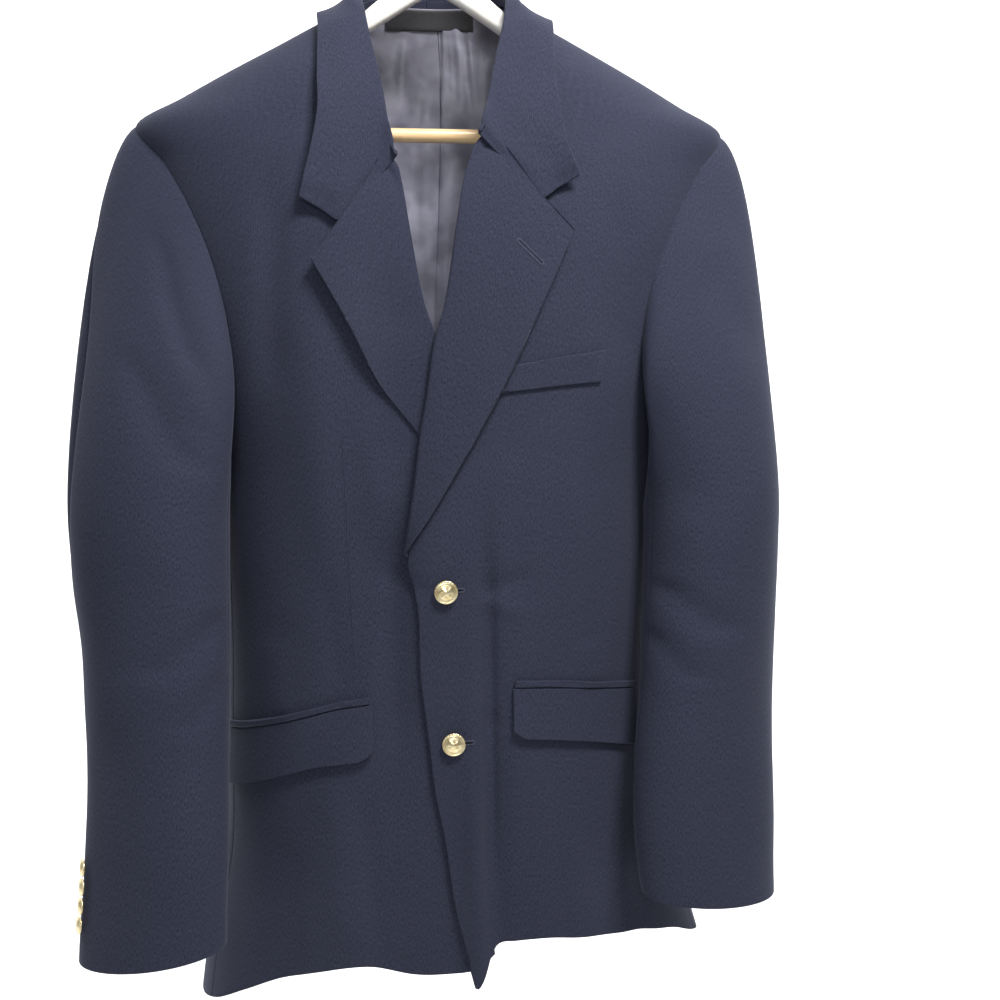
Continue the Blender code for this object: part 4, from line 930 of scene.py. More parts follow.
# Body
body_levels = finer(LEVELS, 0.0032)
FRONT_COLUMNS = 110
EDGE_POWER = 1.15
left_bounds = front_bounds(1, OVER_EDGE_AT)
right_bounds = front_bounds(-1, UNDER_EDGE_AT)
made["front_left"] = panel(
    "front_left_cloth", body_levels, left_bounds, FRONT_COLUMNS, "over", CLOTH, EDGE_POWER
)
made["front_right"] = panel(
    "front_right_cloth", body_levels, right_bounds, FRONT_COLUMNS, "under", CLOTH, EDGE_POWER, True
)
NECK_LEVELS = [0.0880, 0.0970, 0.1050, 0.1120]
back_levels = finer(LEVELS + NECK_LEVELS, 0.0042)
made["back_left"] = panel("back_left_cloth", back_levels, back_bounds(1), 56, "plain", CLOTH)
made["back_right"] = panel("back_right_cloth", back_levels, back_bounds(-1), 56, "plain", CLOTH)


def side_panel(name, side):
    levels = finer([level for level in LEVELS if level < -0.24] + [-0.243], 0.0050)
    cols = 22
    angle = np.linspace(SIDE_SEAM_FRONT, SIDE_SEAM_BACK, cols + 1)
    spread = (90.0 - angle) / ARMHOLE_SPREAD[side]
    spread = np.where(angle > 90.0, (angle - 90.0) / ARMHOLE_BACK / ARMHOLE_SPREAD[side], spread)
    lowest = curve([(90.0 - row[2], row[1]) for row in ARMHOLE if row[0] >= 130.0], 1)(spread) - 0.0008
    angles = np.broadcast_to(angle[None, :], (len(levels), cols + 1))
    level = np.broadcast_to(levels[:, None], angles.shape)
    height = np.where(level <= HEM_LEVEL + HEM_REACH, row_height(level, angles * side, "plain"), level)
    top = ramp(level, -0.31, -0.243)
    height = height * (1 - top) + (height + (lowest[None, :] + 0.243)) * top
    outer = body(angles * side, height, "plain")
    normal = body_normal(angles * side, height, "plain")
    return shell(name, outer, outer - normal * SHELL, CLOTH, flip=side < 0)


made["side_left"] = side_panel("side_left_cloth", 1)
made["side_right"] = side_panel("side_right_cloth", -1)

# Sleeves: metres down a whole sleeve, metres round it for each degree, and how deep the hind seam lies
SLEEVE_LONG = 0.62
SLEEVE_ROUND = 0.00085
SEAM_GROOVE = {1: 0.0004, -1: 0.0024}
RING_LOW = SLEEVE[0][0]
RING_HIGH = SLEEVE[-1][0]
SLEEVE_AT = [curve(SLEEVE, column) for column in range(9)]


def ring_point(way, turn, side):
    column = 1 if side > 0 else 3
    z = RING_LOW + (RING_HIGH - RING_LOW) * way
    far = SLEEVE_AT[column](z)
    near = SLEEVE_AT[column + 1](z)
    short = SLEEVE_AT[6](z)
    yaw = np.radians(SLEEVE_AT[7](z))
    drop = SLEEVE_AT[8](z)
    middle = (far + near) / 2
    reach = (far - near) / 2
    long = np.sqrt(np.maximum(reach ** 2 - (short * np.sin(yaw)) ** 2, 1e-6)) / np.cos(yaw)
    down = RING_LOW + (z - RING_LOW) * SLEEVE_LENGTH[side]
    deep = SLEEVE_AT[5](z) * SLEEVE_FORWARD[side]
    low = (1 - np.cos(np.radians(turn))) / 2
    t = np.radians(turn + SLEEVE_TWIST * low ** 0.8)
    a = long * np.cos(t)
    b = short * np.sin(t)
    x = middle + a * np.cos(yaw) + b * np.sin(yaw)
    y = deep + a * np.sin(yaw) - b * np.cos(yaw)
    return np.stack(np.broadcast_arrays(x * side, y, down - drop * (x - middle)), -1)


def smooth_sleeve(way, turn, side):
    # Way 0 is the armhole, 1 the cuff
    way, turn = np.broadcast_arrays(np.asarray(way, float), np.asarray(turn, float))
    lower = ring_point(np.maximum(way - CAP_SHARE, 0.0) / (1 - CAP_SHARE), turn, side)
    t = np.minimum(way / CAP_SHARE, 1.0)[..., None]
    start = armhole_point(turn, side)
    end = ring_point(np.zeros_like(turn), turn, side)
    reach = np.linalg.norm(end - start, axis=-1)[..., None]
    r = np.radians(turn)
    low = ((1 - np.cos(r)) / 2)[..., None]
    fore = np.exp(-((turn % 360.0 - FORE_BREAK[0]) / FORE_BREAK[1]) ** 2)
    across = (0.87 - FORE_BREAK[2] * fore) * side
    ahead = -0.20 * np.sin(r) - FORE_BREAK[3] * fore
    out = unit(np.stack([across, ahead, -0.48 - 0.35 * low[..., 0] ** 2], -1))
    spring = CAP_SPRING * (1 - low) + np.minimum(CAP_SPRING, reach) * low
    lead = unit(ring_point(np.full_like(turn, 0.08), turn, side) - end) * reach * 0.9
    cap = hermite(t, start + out * SLEEVE_SEAM, out * spring, end, lead)
    return np.where((way >= CAP_SHARE)[..., None], lower, cap)


def sleeve_normal(way, turn, side):
    across = smooth_sleeve(way, turn + 0.8, side) - smooth_sleeve(way, turn - 0.8, side)
    along = smooth_sleeve(np.minimum(1.0, way + 0.004), turn, side)
    along = along - smooth_sleeve(np.maximum(0.0, way - 0.004), turn, side)
    return unit(np.cross(across, along)) * side


def sleeve_relief(way, turn, side):
    # Creases run between two points of the sleeve; distances are taken in metres down and round it
    total = np.zeros(np.broadcast(way, turn).shape)
    for w0, t0, w1, t1, depth, width in SLEEVE_CREASES[side]:
        ends = (t0 * SLEEVE_ROUND, w0 * SLEEVE_LONG, t1 * SLEEVE_ROUND, w1 * SLEEVE_LONG)
        total += depth * stroke(turn * SLEEVE_ROUND, way * SLEEVE_LONG, ends, width)
    away = ((turn - HIND_AT[side](way) + 180.0) % 360.0 - 180.0) * SLEEVE_ROUND
    fold = 0.0005 + SEAM_GROOVE[side] * ramp(way, 0.08, 0.18) * (1 - ramp(way, 0.46, 0.58))
    total -= fold * np.exp(-(away / 0.0026) ** 2)
    total += 0.00030 * np.sin(9.0 * way + 0.035 * turn + 0.7) * np.sin(17.0 * way - 0.021 * turn)
    return total * ramp(way, 0.02, 0.10)


def sleeve_point(way, turn, side, lift=0.0):
    way, turn = np.broadcast_arrays(np.asarray(way, float), np.asarray(turn, float))
    rise = sleeve_relief(way, turn, side) + lift
    return smooth_sleeve(way, turn, side) + sleeve_normal(way, turn, side) * rise[..., None]


def sleeve(name, side, low_at, high_at, cols, dense_low):
    ways = np.concatenate([
        np.linspace(0.0, CAP_SHARE, 64, endpoint=False), np.linspace(CAP_SHARE, 1.0, 130)
    ])[::-1]
    low = low_at(ways)
    high = high_at(ways)
    share = np.linspace(0.0, 1.0, cols + 1)
    share = share ** 1.35 if dense_low else 1 - (1 - share) ** 1.35
    turn = low[:, None] + (high - low)[:, None] * share[None, :]
    way = np.broadcast_to(ways[:, None], turn.shape)
    outer = sleeve_point(way, turn, side)
    inner = sleeve_point(way, turn, side, -SHELL)
    # The seam allowance turns in under the edge of the body
    start = outer[-1]
    down = unit(outer[-2] - outer[-1])
    middle = np.array([0.16 * side, 0.0, 0.0]) + start * np.array([0.0, 0.0, 1.0])
    inward = unit(middle - start)
    for back, deep in ((0.0016, 0.0016), (0.0030, 0.0034), (0.0040, 0.0054)):
        outer = np.concatenate([outer, (start - down * back + inward * deep)[None]], 0)
        last = start - down * back + inward * (deep + SHELL) + down * 0.0004
        inner = np.concatenate([inner, last[None]], 0)
    return shell(name, outer, inner, CLOTH, flip=side > 0)


def fore_seam(way):
    return np.full(way.shape, FORE_SEAM)


SIDES = ((1, "left"), (-1, "right"))
for side, word in SIDES:
    top = "top_sleeve_" + word
    under = "under_sleeve_" + word
    made[top] = sleeve(top + "_cloth", side, HIND_AT[side], fore_seam, 72, True)
    around = lambda way, side=side: 360.0 + HIND_AT[side](way)
    made[under] = sleeve(under + "_cloth", side, fore_seam, around, 56, False)


# Lapels and collar
def spline_along(grid, times, axis):
    grid = np.moveaxis(np.asarray(grid, float), axis, 0)
    count = len(grid)
    at = np.linspace(0, count - 1, (count - 1) * times + 1)
    k = np.minimum(at.astype(int), count - 2)
    t = (at - k)[:, None, None]
    slope = np.gradient(grid, axis=0)
    out = hermite(t, grid[k], slope[k], grid[k + 1], slope[k + 1])
    return np.moveaxis(out, 0, axis)


# How far the top edge goes on under the collar, and how far it rises there
GORGE_TUCK = 0.0045
LAPEL_RISE = 0.0028
LAPEL_NOTCH = 0.62
LAPEL_SHARES = (0.06, 0.14, 0.22, 0.32, 0.42, 0.52, 0.62, 0.69, 0.76, 0.82, 0.88, 0.92, 0.96, 1.0)
# The roll: lift of the outer and the inner face, way past the edge of the outer and the inner face
LAPEL_ROLL = [
    (-0.0018, -0.0018, 0.0021, 0.0004),
    (0.0006, 0.0002, 0.0023, 0.0005),
    (0.0022, 0.0005, 0.0012, 0.0001),
]


def lapel(name, side, layer, edge_at, outline, gorge):
    # Leaf that turns over the edge of the front at the roll line and lies on the chest
    low = outline[0][0] + 0.001
    tip = gorge[2]
    top = gorge[0][1] + GORGE_TUCK
    gorge = [(float(edge_at(top)) + side * 0.0050, top), (gorge[1][0], gorge[1][1] + 0.0012), gorge[2]]
    edge_x_at = curve(outline, 1)
    stand_at = curve(outline, 2)
    roll_z = np.linspace(low, gorge[0][1], 150)
    level = (roll_z - low) / (gorge[0][1] - low)
    edge_z = low + (tip[1] - low) * level
    roll_x = edge_at(roll_z) + side * 0.0045 * ramp(level, 0.955, 0.995)
    edge_x = edge_x_at(edge_z)
    stand = stand_at(edge_z)
    bend = ramp(level, 0.70, 1.0)
    rise = LAPEL_RISE * ramp(level, 0.90, 0.985)
    columns_in = []
    columns_out = []
    for out_d, in_d, w_out, w_in in LAPEL_ROLL:
        columns_out.append(front(roll_x - side * w_out, roll_z, out_d + rise * (out_d > 0), layer))
        columns_in.append(front(roll_x - side * w_in, roll_z, in_d + rise * (in_d > 0), layer))
    spots = (0.0, LAPEL_NOTCH, 1.0)
    for share in LAPEL_SHARES:
        x = roll_x + (edge_x - roll_x) * share
        z = roll_z + (edge_z - roll_z) * share
        x = x * (1 - bend) + np.interp(share, spots, [spot[0] for spot in gorge]) * bend
        z = z * (1 - bend) + np.interp(share, spots, [spot[1] for spot in gorge]) * bend
        base = 0.0009 + stand * share ** 0.8 + rise * max(0.0, 1 - share / 0.55)
        if layer == "under":
            hidden = ramp(x, -0.075, -0.036) * (1 - ramp(z, -0.15, -0.10))
            base = base * (1 - hidden) + 0.0006 * hidden
        columns_in.append(front(x, z, base, layer))
        columns_out.append(front(x, z, base + SHELL, layer))
    outer = spline_along(np.stack(columns_out, 1), 4, 1)
    inner = spline_along(np.stack(columns_in, 1), 4, 1)
    return shell(name, outer, inner, CLOTH, flip=side < 0)


made["lapel_left"] = lapel("lapel_left_cloth", 1, "over", OVER_EDGE_AT, OVER_LAPEL, OVER_GORGE)
made["lapel_right"] = lapel("lapel_right_cloth", -1, "under", UNDER_EDGE_AT, UNDER_LAPEL, UNDER_GORGE)

# How far the crest's two ends are moved, out, back and up
COLLAR_END = (0.0, 0.0030, -0.0020)
COLLAR_NOTCH = 0.55


def collar():
    # One piece round the neck: stand, fold and fall
    stations = list(COLLAR_RIGHT) + list(reversed(COLLAR_LEFT))
    count = len(stations)
    middle = []
    for k, row in enumerate(stations):
        seam, crest, edge = (np.array(row[i:i + 3]) for i in (0, 3, 6))
        side = -1 if k < len(COLLAR_RIGHT) else 1
        end = k in (0, count - 1)
        near = k in (1, count - 2)
        if end:
            crest = crest + np.array(COLLAR_END) * (side, 1, 1)
        layer = "plain" if side > 0 else "under"
        line = [seam, seam + (crest - seam) * 0.55, crest]
        gorge = UNDER_GORGE if side < 0 else OVER_GORGE
        for share in (0.12, 0.33, 0.55, 0.78, 1.0):
            point = crest + (edge - crest) * share
            if end or near:
                amount = 1.0 if end else 0.35
                for axis, column in ((0, 0), (2, 1)):
                    along = (gorge[0][column], gorge[1][column], edge[axis])
                    point[axis] += (np.interp(share, (0.0, COLLAR_NOTCH, 1.0), along) - point[axis]) * amount
            if end:
                point[2] -= 0.0006 - COLLAR_END[2] * max(0.0, 1 - share / 0.62) * 0.8
            lift = 0.0022 + 0.0045 * min(1.0, share * 1.6)
            line.append(clear_of_body(point[None], lift, layer)[0])
        middle.append(line)
    grid = spline_along(spline_along(np.array(middle), 8, 0), 7, 1)
    out = grid_normals(grid)
    # The ends lie on the lapels along the gorge
    reach = np.abs(np.linspace(-1.0, 1.0, grid.shape[0]))
    grid = grid + out * (0.0020 * ramp(reach, 0.940, 1.0))[:, None, None]
    return shell("collar_cloth", grid + out * SHELL / 2, grid - out * SHELL / 2, CLOTH)


made["collar"] = collar()


# Pockets
def patch(name, corners, side, cols, rows, low, high, bulge, arch, round_corner, wave):
    layer = "over" if side > 0 else "under"
    u = np.linspace(0.0, 1.0, cols + 1)[None, :]
    v = np.linspace(1.0, 0.0, rows + 1)[:, None]
    c = np.array(corners)
    left = c[0] + (c[3] - c[0]) * v[..., None]
    right = c[1] + (c[2] - c[1]) * v[..., None]
    point = left + (right - left) * u[..., None]
    x = point[..., 0]
    z = point[..., 1]
    z = z + (arch[0] + (arch[1] - arch[0]) * v) * np.sin(math.pi * u)
    if round_corner > 0:
        near = np.maximum(0.0, 1 - u * 9.0)
        z = z + round_corner * near ** 2 * np.clip((v - 0.6) / 0.4, 0, 1) ** 1.5
    puff = bulge * v ** 1.2 + wave * v * np.sin(u * 7.0 + 0.6) + 0 * u
    inner = front(x, z, low + puff, layer)
    outer = front(x, z, high + puff, layer)
    return shell(name, outer, inner, CLOTH, flip=side < 0)


FLAP_TOP = POCKET_GAP + SHELL
JET_TOP = POCKET_GAP + 0.0022
# Name, corners, side, columns, rows, lift of the inner and the outer face, bulge, arch, round corner, wave
PATCHES = [
    ("flap_left", FLAP_LEFT, 1, 90, 40, POCKET_GAP, FLAP_TOP, 0.0020, FLAP_LEFT_ARCH, 0.006, 0.0002),
    ("flap_right", FLAP_RIGHT, -1, 90, 40, POCKET_GAP, FLAP_TOP, 0.0020, FLAP_RIGHT_ARCH, 0.006, 0.0003),
    ("jet_left", JET_LEFT, 1, 90, 8, POCKET_GAP, JET_TOP, 0.0, JET_LEFT_ARCH, 0.0, 0.0),
    ("jet_right", JET_RIGHT, -1, 90, 8, POCKET_GAP, JET_TOP, 0.0, JET_RIGHT_ARCH, 0.0, 0.0),
    ("breast_welt", WELT, 1, 80, 24, 0.0006, 0.0024, 0.0, WELT_ARCH, 0.0, 0.0),
]
for name, *rest in PATCHES:
    made[name] = patch(name + "_cloth", *rest)


# Lining and label
def lining_crease(x, z):
    x = x - LINING_SEAM
    total = 0.0018 * ramp(x, -0.0004, 0.0004) * (1 - ramp(x, 0.004, 0.030)) * (1 - ramp(z, 0.092, 0.100))
    for x0, top, bottom, depth, width in LINING_CREASES:
        along = ramp(z, bottom, bottom + 0.06) * (1 - ramp(z, top - 0.03, top))
        drift = x0 + 0.004 * np.sin(z * 23.0 + x0 * 90.0)
        total = total + depth * along * np.exp(-((x - drift) / width) ** 2)
    return total * (1 - ramp(z, 0.088, 0.104))


def lining(name, side):
    levels = finer([HEM_LEVEL, -0.60, -0.48, -0.36, -0.25, -0.19, -0.118, -0.048, -0.006, 0.020, 0.040,
                    0.060, 0.073, 0.083, 0.088, 0.097, 0.105], 0.0040)
    t = np.linspace(0.0, 1.0, 65)
    margin = 0.004 + 0.016 * ramp(levels, -0.060, -0.010)
    far = back_outer(levels, side)
    step = np.linalg.norm(body(far + 0.5, levels, "plain") - body(far - 0.5, levels, "plain"), axis=-1)
    far = far + margin / np.maximum(step, 1e-6)
    gather = 1 - (1 - t) ** 1.2
    middle = np.linalg.norm(body(180.5, levels, "plain") - body(179.5, levels, "plain"), axis=-1)
    seam = 180.0 - (0.00008 + LINING_SEAM * side) / middle
    turns = far[:, None] + (seam - far)[:, None] * gather[None, :]
    if side < 0:
        turns = -turns[:, ::-1]
    level = np.broadcast_to(levels[:, None], turns.shape)
    height = np.where(level <= HEM_LEVEL + HEM_REACH, row_height(level, turns, "plain"), level)
    height = height + LINING_HEM * (1 - ramp(level, HEM_LEVEL, HEM_LEVEL + 0.06))
    point = body(turns, height, "plain")
    out = body_normal(turns, height, "plain")
    deep = WALL + 0.0008 + LINING_SLACK * ramp(height, 0.084, 0.020) + lining_crease(point[..., 0], height)
    outer = point - out * deep[..., None]
    inner = point - out * (deep + LINING_WALL)[..., None]
    return shell(name, outer, inner, SATIN)


def label():
    z = np.linspace(LABEL_LOW, LABEL_HIGH, 17)[:, None]
    x = np.linspace(LABEL_HALF, -LABEL_HALF, 77)[None, :]
    turn = 180.0 - angle_of(x, z)
    z = np.broadcast_to(z, turn.shape)
    point = body(turn, z, "plain")
    out = body_normal(turn, z, "plain")
    edge = np.minimum(np.minimum(z - LABEL_LOW, LABEL_HIGH - z), 0.0015) / 0.0015
    deep = WALL + 0.0016 + LINING_WALL + 0.0002 + 0.0003 * edge
    outer = point - out * deep[..., None]
    inner = point - out * (deep + LABEL_WALL)[..., None]
    return shell("neck_label_bare", outer, inner, LABEL)


made["back_lining_left"] = lining("back_lining_left_satin", 1)
made["back_lining_right"] = lining("back_lining_right_satin", -1)
made["neck_label"] = label()


# Buttons
def turned(name, base, axis, radius, mat):
    # A domed button with a roped rim, a plain ring and eight short rays, on its shank
    axis = unit(np.asarray(axis))
    side = unit(np.cross(axis, (0.0, 0.0, 1.0)))
    over = np.cross(axis, side)
    turns = 96
    profile = [(0.001, 0.05), (0.22, 0.05), (0.24, 0.16), (0.24, 0.24), (0.60, 0.235), (0.88, 0.23),
               (0.955, 0.255), (0.985, 0.30), (0.99, 0.35), (0.97, 0.40), (0.93, 0.43), (0.885, 0.425),
               (0.855, 0.40), (0.83, 0.395), (0.79, 0.415), (0.75, 0.43), (0.71, 0.43), (0.68, 0.425),
               (0.62, 0.45), (0.54, 0.485), (0.46, 0.515), (0.38, 0.54), (0.30, 0.56), (0.23, 0.575),
               (0.18, 0.60), (0.12, 0.615), (0.06, 0.62), (0.001, 0.622)]
    t = np.arange(turns) * 2 * math.pi / turns
    points = []
    for k, (r, h) in enumerate(profile):
        rise = np.full(turns, h)
        if 6 <= k <= 11:
            rise = rise + 0.022 * np.sin(24 * t) * math.sin((k - 5) * math.pi / 7)
        if 18 <= k <= 23:
            rise = rise + 0.020 * np.maximum(0.0, np.cos(8 * t)) ** 2 * math.sin((k - 17) * math.pi / 7)
        ring = side * np.cos(t)[:, None] + over * np.sin(t)[:, None]
        points.append(base + axis * rise[:, None] * radius + ring * radius * r)
    return solid_mesh(name, np.concatenate(points), ring_faces(len(profile), turns), mat)


for name, x, z in FRONT_BUTTONS:
    turn = angle_of(x, z)
    base = body(turn, z)
    facing = body_normal(turn, z)
    made[name] = turned(name + "_brass", base + facing * 0.0004, facing, FRONT_BUTTON_RADIUS, BRASS)

for side, word in SIDES:
    for count in range(4):
        drop = CUFF_BUTTON_FIRST + CUFF_BUTTON_STEP * count
        way = 1.0 - (1.0 - CAP_SHARE) * drop / ((RING_LOW - RING_HIGH) * SLEEVE_LENGTH[side])
        turn = HIND_AT[side](way) + CUFF_BUTTON_TURN[side]
        here = sleeve_point(way, turn, side)
        facing = sleeve_normal(way, turn, side)
        if facing[0] * side < 0:
            facing = -facing
        node_name = "cuff_button_" + word + "_" + str(count + 1)
        place = here + facing * 0.0006
        made[node_name] = turned(node_name + "_brass", place, facing, CUFF_BUTTON_RADIUS, BRASS)


# Sewing
def on_piece(grid, x, z, lift):
    # Points of a built piece at distances to the right and heights, moved out
    flat = grid.reshape(-1, 3)
    normals = grid_normals(grid).reshape(-1, 3)
    out = []
    for px, pz, rise in np.broadcast(x, z, lift):
        k = int(np.argmin((flat[:, 0] - px) ** 2 + (flat[:, 2] - pz) ** 2))
        n = normals[k] if normals[k][1] < 0 else -normals[k]
        y = flat[k][1] - ((px - flat[k][0]) * n[0] + (pz - flat[k][2]) * n[2]) / n[1]
        out.append(np.array((px, y, pz)) + n * rise)
    return np.array(out)


def joined(name, parts, mat):
    # One mesh of many small closed pieces
    points = []
    faces = []
    for part_points, part_faces in parts:
        base = sum(len(p) for p in points)
        points.append(part_points)
        faces += [tuple(base + k for k in face) for face in part_faces]
    return solid_mesh(name, np.concatenate(points), faces, mat)


def cord_parts(path, radius, sides, closed=False):
    path = np.asarray(path, float)
    count = len(path)
    ahead = np.roll(path, -1, 0) - np.roll(path, 1, 0)
    if not closed:
        ahead = np.gradient(path, axis=0)
    ahead = unit(ahead)
    side = unit(np.cross(ahead, (0.0, -1.0, 0.0)))
    up = np.cross(side, ahead)
    t = np.arange(sides) * 2 * math.pi / sides
    radius = np.broadcast_to(radius, (count,))[:, None, None]
    ring = side[:, None, :] * np.cos(t)[None, :, None] + up[:, None, :] * np.sin(t)[None, :, None]
    points = (path[:, None, :] + ring * radius).reshape(-1, 3)
    faces = []
    for i in range(count if closed else count - 1):
        j = (i + 1) % count
        for k in range(sides):
            n = (k + 1) % sides
            faces.append((i * sides + k, j * sides + k, j * sides + n, i * sides + n))
    if not closed:
        faces.append(tuple(range(sides)))
        faces.append(tuple((count - 1) * sides + k for k in range(sides - 1, -1, -1)))
    return points, faces


def buttonhole(name, place, start, end, half, with_slit_shade=True):
    # A worked slit: a rope of close stitches round it and, in the middle, a near-black cord that is painted
    # shade in the slit
    start = np.array(start)
    end = np.array(end)
    along = (end - start) / np.linalg.norm(end - start)
    side = np.array((-along[1], along[0]))
    outline = []
    for t in np.linspace(-math.pi / 2, math.pi / 2, 12):
        outline.append(end + along * half * math.cos(t) + side * half * math.sin(t))
    for t in np.linspace(0.02, 0.98, 40):
        outline.append(end + (start - end) * t + side * half)
    for t in np.linspace(math.pi / 2, 3 * math.pi / 2, 12):
        outline.append(start + along * half * math.cos(t) + side * half * math.sin(t))
    for t in np.linspace(0.02, 0.98, 40):
        outline.append(start + (end - start) * t - side * half)
    outline = np.array(outline)
    ripple = 0.00042 + 0.00010 * np.sin(np.arange(len(outline)) * math.pi / 1.5)
    rope = cord_parts(place(outline[:, 0], outline[:, 1], 0.00012), ripple, 8, True)
    rope_piece = joined(name + "_thread", [rope], THREAD)
    if not with_slit_shade:
        return [rope_piece]
    # Painted shade: a near-black cord along the slit
    slit = np.array([start + (end - start) * t for t in np.linspace(0.04, 0.96, 24)])
    slit_shade = cord_parts(place(slit[:, 0], slit[:, 1], 0.0), np.full(24, 0.00034), 8)
    slit_shade_piece = joined(name + "_cut", [slit_shade], SHADE)
    return [rope_piece, slit_shade_piece]


def ridge(name, place, start, end, width, rise, mat):
    # A pressed seam: a low, narrow welt of cloth from point to point
    steps = 60
    t = np.linspace(0.0, 1.0, steps)
    x = start[0] + (end[0] - start[0]) * t
    z = start[1] + (end[1] - start[1]) * t
    fade = np.minimum(1.0, np.minimum(t, 1 - t) / 0.08)
    path = place(x, z, -width / 2 + rise * fade)
    return joined(name, [cord_parts(path, np.full(steps, width / 2), 12)], mat)


def stitch_row(name, place, ends, gap, long, thick, mat):
    # Short stitches one after another along straight lines
    parts = []
    for (x0, z0), (x1, z1) in ends:
        reach = math.hypot(x1 - x0, z1 - z0)
        count = max(2, int(reach / gap))
        for k in range(count):
            t0 = (k + 0.5) / count - long / reach / 2
            t = t0 + np.linspace(0.0, 1.0, 5) * long / reach
            swell = np.array((0.35, 0.85, 1.0, 0.85, 0.35)) * thick
            path = place(x0 + (x1 - x0) * t, z0 + (z1 - z0) * t, swell * 0.35)
            parts.append(cord_parts(path, swell, 6))
    return joined(name, parts, mat)


def on_front(layer, extra=0.0):
    return lambda x, z, lift: front(x, z, np.asarray(lift) + extra, layer)


def on_lapel(x, z, lift):
    return on_piece(BUILT["lapel_left_cloth"], x, z, lift)


# How far each front buttonhole shows past its button, and the two ends of the lapel's
HOLE_REACH = (0.0124, 0.0142)
LAPEL_HOLE = ((0.0466, -0.0906), (0.0624, -0.1062))
sewn = []
for (name, x, z), reach in zip(FRONT_BUTTONS, HOLE_REACH):
    ends = ((x + 0.0020, z), (x + reach, z + 0.0005))
    sewn += buttonhole(name + "_hole", on_front("over"), *ends, 0.0013)
sewn += buttonhole("lapel_hole", on_lapel, *LAPEL_HOLE, 0.0014, False)
for number, (x0, z0, x1, z1) in enumerate(DARTS):
    place = on_front("under" if x0 < 0 else "over")
    sewn.append(ridge("dart_" + str(number), place, (x0, z0), (x1, z1), 0.0018, 0.00022, CLOTH))
# Painted shadow: a thin near-black strip beside the first dart
x0, z0, x1, z1 = DARTS[0]
shadow_ends = ((x0 + 0.0009, z0), (x1 + 0.0009, z1))
sewn.append(ridge("dart_painted_shadow", on_front("under"), *shadow_ends, 0.00032, 0.00005, SHADE))
WELT_ROWS = [((0.1105, -0.1712), (0.1070, -0.1925)), ((0.1085, -0.1718), (0.1050, -0.1928))]
sewn.append(stitch_row("welt_stitches", on_front("over", 0.0024), WELT_ROWS, 0.0020, 0.0014, 0.00018, THREAD))
for piece in sewn:
    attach(piece, "root")


# Hanger
def hanger_arms():
    spots = []
    for near, far in zip(ARM, ARM[1:]):
        parts = 1 if far[0] - near[0] < 0.004 else 6
        spots += [near[0] + (far[0] - near[0]) * k / parts for k in range(parts)]
    spots.append(ARM[-1][0])
    spots = [-x for x in reversed(spots[1:])] + spots
    x = np.array(spots)
    top, low, half = (straight(ARM, column)(np.abs(x)) for column in (1, 2, 3))
    turns = 32
    t = np.arange(turns) * 2 * math.pi / turns
    cos = np.cos(t)
    sin = np.sin(t)
    corner = 0.52
    y = half[:, None] * (np.sign(cos) * np.abs(cos) ** corner)[None, :]
    tall = (top - low)[:, None] / 2
    z = (top + low)[:, None] / 2 + tall * (np.sign(sin) * np.abs(sin) ** corner)[None, :]
    grid = np.stack([np.broadcast_to(x[:, None], y.shape), y, z], -1)
    return solid_mesh("hanger_arms_wood", grid.reshape(-1, 3), ring_faces(len(x), turns), LIT_WOOD_ARMS)


def tube(name, path, radius, sides, mat):
    path = np.asarray(path, float)
    across = np.array((0.0, 1.0, 0.0))
    along = unit(np.gradient(path, axis=0))
    up = unit(np.cross(across, along))
    t = np.arange(sides) * 2 * math.pi / sides
    ring = up[:, None, :] * np.cos(t)[None, :, None] + across * np.sin(t)[None, :, None]
    points = (path[:, None, :] + ring * radius).reshape(-1, 3)
    return solid_mesh(name, points, ring_faces(len(path), sides), mat)


made["hanger_arms"] = hanger_arms()
bar = np.zeros((41, 3))
bar[:, 0] = np.linspace(-BAR_HALF, BAR_HALF, 41)
bar[:, 2] = BAR_HEIGHT
made["hanger_bar"] = tube("hanger_bar_wood", bar, BAR_RADIUS, 32, WOOD_BAR)
crown = HOOK_RISE + HOOK_WIRE - HOOK_RADIUS
# The hook's stem, straight and then bending out to the round
STEM = [0.1334, 0.1380, 0.1420, 0.1460, 0.1500]
STEM_BEND = [(0.0005, 0.1540), (0.0012, 0.1570), (0.0026, 0.1612), (0.0048, 0.1650)]
hook = [(0.0, 0.0, z) for z in STEM] + [(x, 0.0, z) for x, z in STEM_BEND]
for degrees in range(-55, 201, 5):
    t = math.radians(degrees)
    hook.append((HOOK_RADIUS * math.cos(t), 0.0, crown + HOOK_RADIUS * math.sin(t)))
made["hanger_hook"] = tube("hanger_hook_steel", hook, HOOK_WIRE, 20, STEEL)

# Each piece takes the place of the part of the same name, which is hidden
for name, piece in made.items():
    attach(piece, "root")
    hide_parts(name)

# Camera at the photograph's angle: place, and degrees that it is turned right, tipped down and rolled
CAMERA_PLACE = (-0.1122, -1.0143, -0.3572)
CAMERA_ANGLES = (9.0, 8.5, -0.3)
LENS = 45.0
SENSOR = 36.0


def aim():
    yaw, pitch, roll = (math.radians(angle) for angle in CAMERA_ANGLES)
    ahead = Vector((math.sin(yaw) * math.cos(pitch), math.cos(yaw) * math.cos(pitch), -math.sin(pitch)))
    right = Vector((math.cos(yaw), -math.sin(yaw), 0.0))
    up = right.cross(ahead)
    across = right * math.cos(roll) + up * math.sin(roll)
    above = up * math.cos(roll) - right * math.sin(roll)
    data = bpy.data.cameras.new("camera")
    data.lens = LENS
    data.sensor_width = SENSOR
    data.clip_start = 0.01
    camera = bpy.data.objects.new("camera", data)
    turned_to = Matrix((across, above, -ahead)).transposed().to_4x4()
    camera.matrix_world = Matrix.Translation(CAMERA_PLACE) @ turned_to
    bpy.context.scene.collection.objects.link(camera)
    bpy.context.scene.camera = camera


aim()


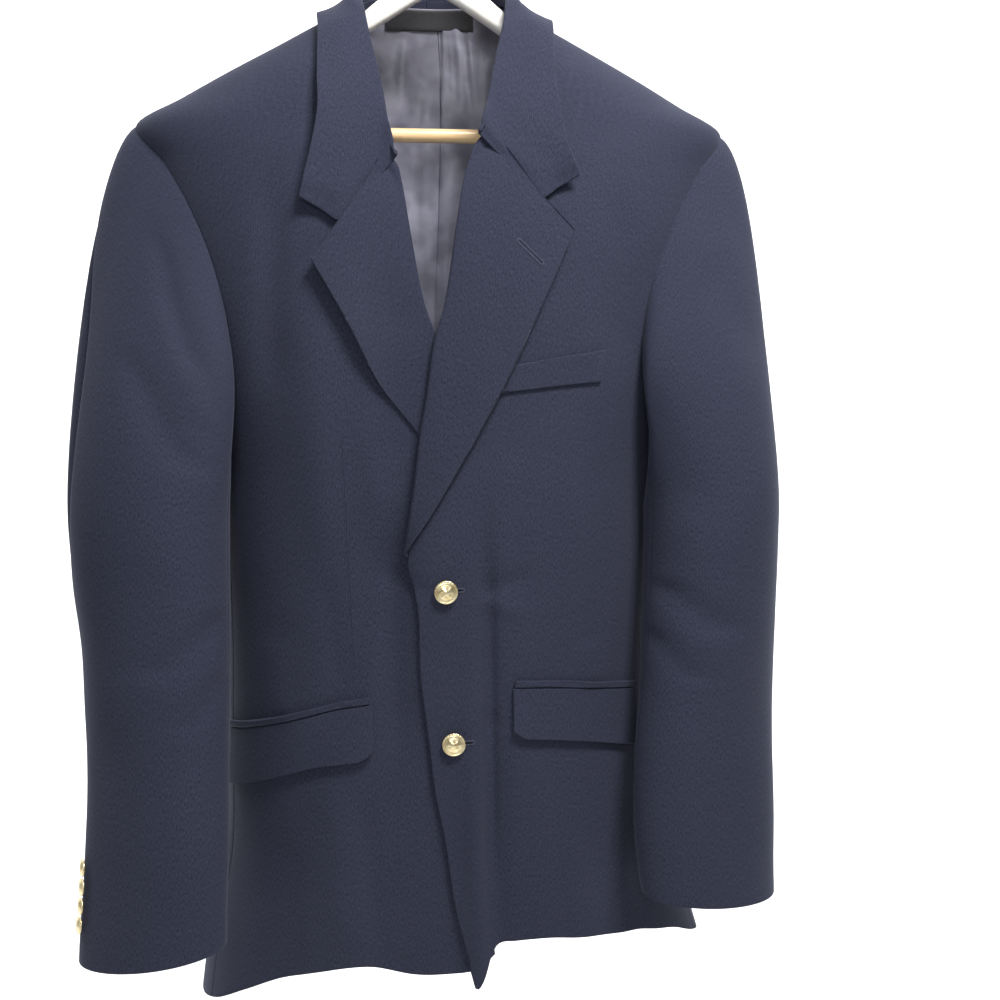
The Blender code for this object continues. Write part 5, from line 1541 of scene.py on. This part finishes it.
# Stage and light
def lamp(name, place, target, size, power, colour):
    data = bpy.data.lights.new(name, "AREA")
    data.shape = "RECTANGLE"
    data.size = size[0]
    data.size_y = size[1]
    data.energy = power
    data.color = colour
    thing = bpy.data.objects.new(name, data)
    thing.location = place
    thing.rotation_mode = "QUATERNION"
    thing.rotation_quaternion = (Vector(target) - Vector(place)).to_track_quat("-Z", "Y")
    bpy.context.scene.collection.objects.link(thing)


def backdrop():
    # A pale floor that sweeps up into a wall
    mat, shader = principled("backdrop_white", (0.90, 0.90, 0.90), 0.95)
    shader.inputs["Specular IOR Level"].default_value = 0.0
    speck = noise(mat, mapped(mat, "Object"), 3.0, 2.0)
    colour = blend_colours(mat, speck, (0.895, 0.895, 0.895), (0.915, 0.915, 0.915), 0.3, 0.7)
    mat.node_tree.links.new(colour, shader.inputs["Base Color"])
    floor_z = -1.45
    half_width = 7.0
    wall_y = 2.6
    bend = 1.2
    profile = [(-5.0, floor_z), (-2.0, floor_z), (wall_y - bend, floor_z)]
    for degrees in range(5, 91, 5):
        t = math.radians(degrees)
        profile.append((wall_y - bend + bend * math.sin(t), floor_z + bend - bend * math.cos(t)))
    profile.append((wall_y, 5.0))
    verts = []
    for y, z in profile:
        verts += [(-half_width, y, z), (half_width, y, z)]
    faces = [(2 * k, 2 * k + 1, 2 * k + 3, 2 * k + 2) for k in range(len(profile) - 1)]
    mesh = bpy.data.meshes.new("floor")
    mesh.from_pydata(verts, [], faces)
    mesh.polygons.foreach_set("use_smooth", np.ones(len(faces), bool))
    mesh.materials.append(mat)
    floor = bpy.data.objects.new("floor", mesh)
    bpy.context.scene.collection.objects.link(floor)


backdrop()
world = bpy.data.worlds.new("studio")
world.use_nodes = True
world.node_tree.nodes["Background"].inputs["Color"].default_value = (1.0, 1.0, 1.0, 1.0)
world.node_tree.nodes["Background"].inputs["Strength"].default_value = 0.22
bpy.context.scene.world = world
# Name, place, what it is aimed at, size, power, colour
LAMPS = [
    ("key", (0.42, -0.80, 0.82), (0.04, -0.05, -0.28), (0.50, 0.36), 34.0, (1.0, 0.985, 0.96)),
    ("fill", (-0.25, -1.6, 0.05), (0.0, 0.0, -0.15), (0.5, 0.5), 7.0, (0.95, 0.97, 1.0)),
    ("wash_left", (-1.5, 1.0, 1.2), (-0.8, 2.6, -0.7), (1.8, 1.2), 70.0, (1.0, 1.0, 1.0)),
    ("wash_right", (1.5, 1.0, 1.2), (0.8, 2.6, -0.7), (1.8, 1.2), 70.0, (1.0, 1.0, 1.0)),
]
for row in LAMPS:
    lamp(*row)
bpy.context.scene.view_settings.view_transform = "Standard"
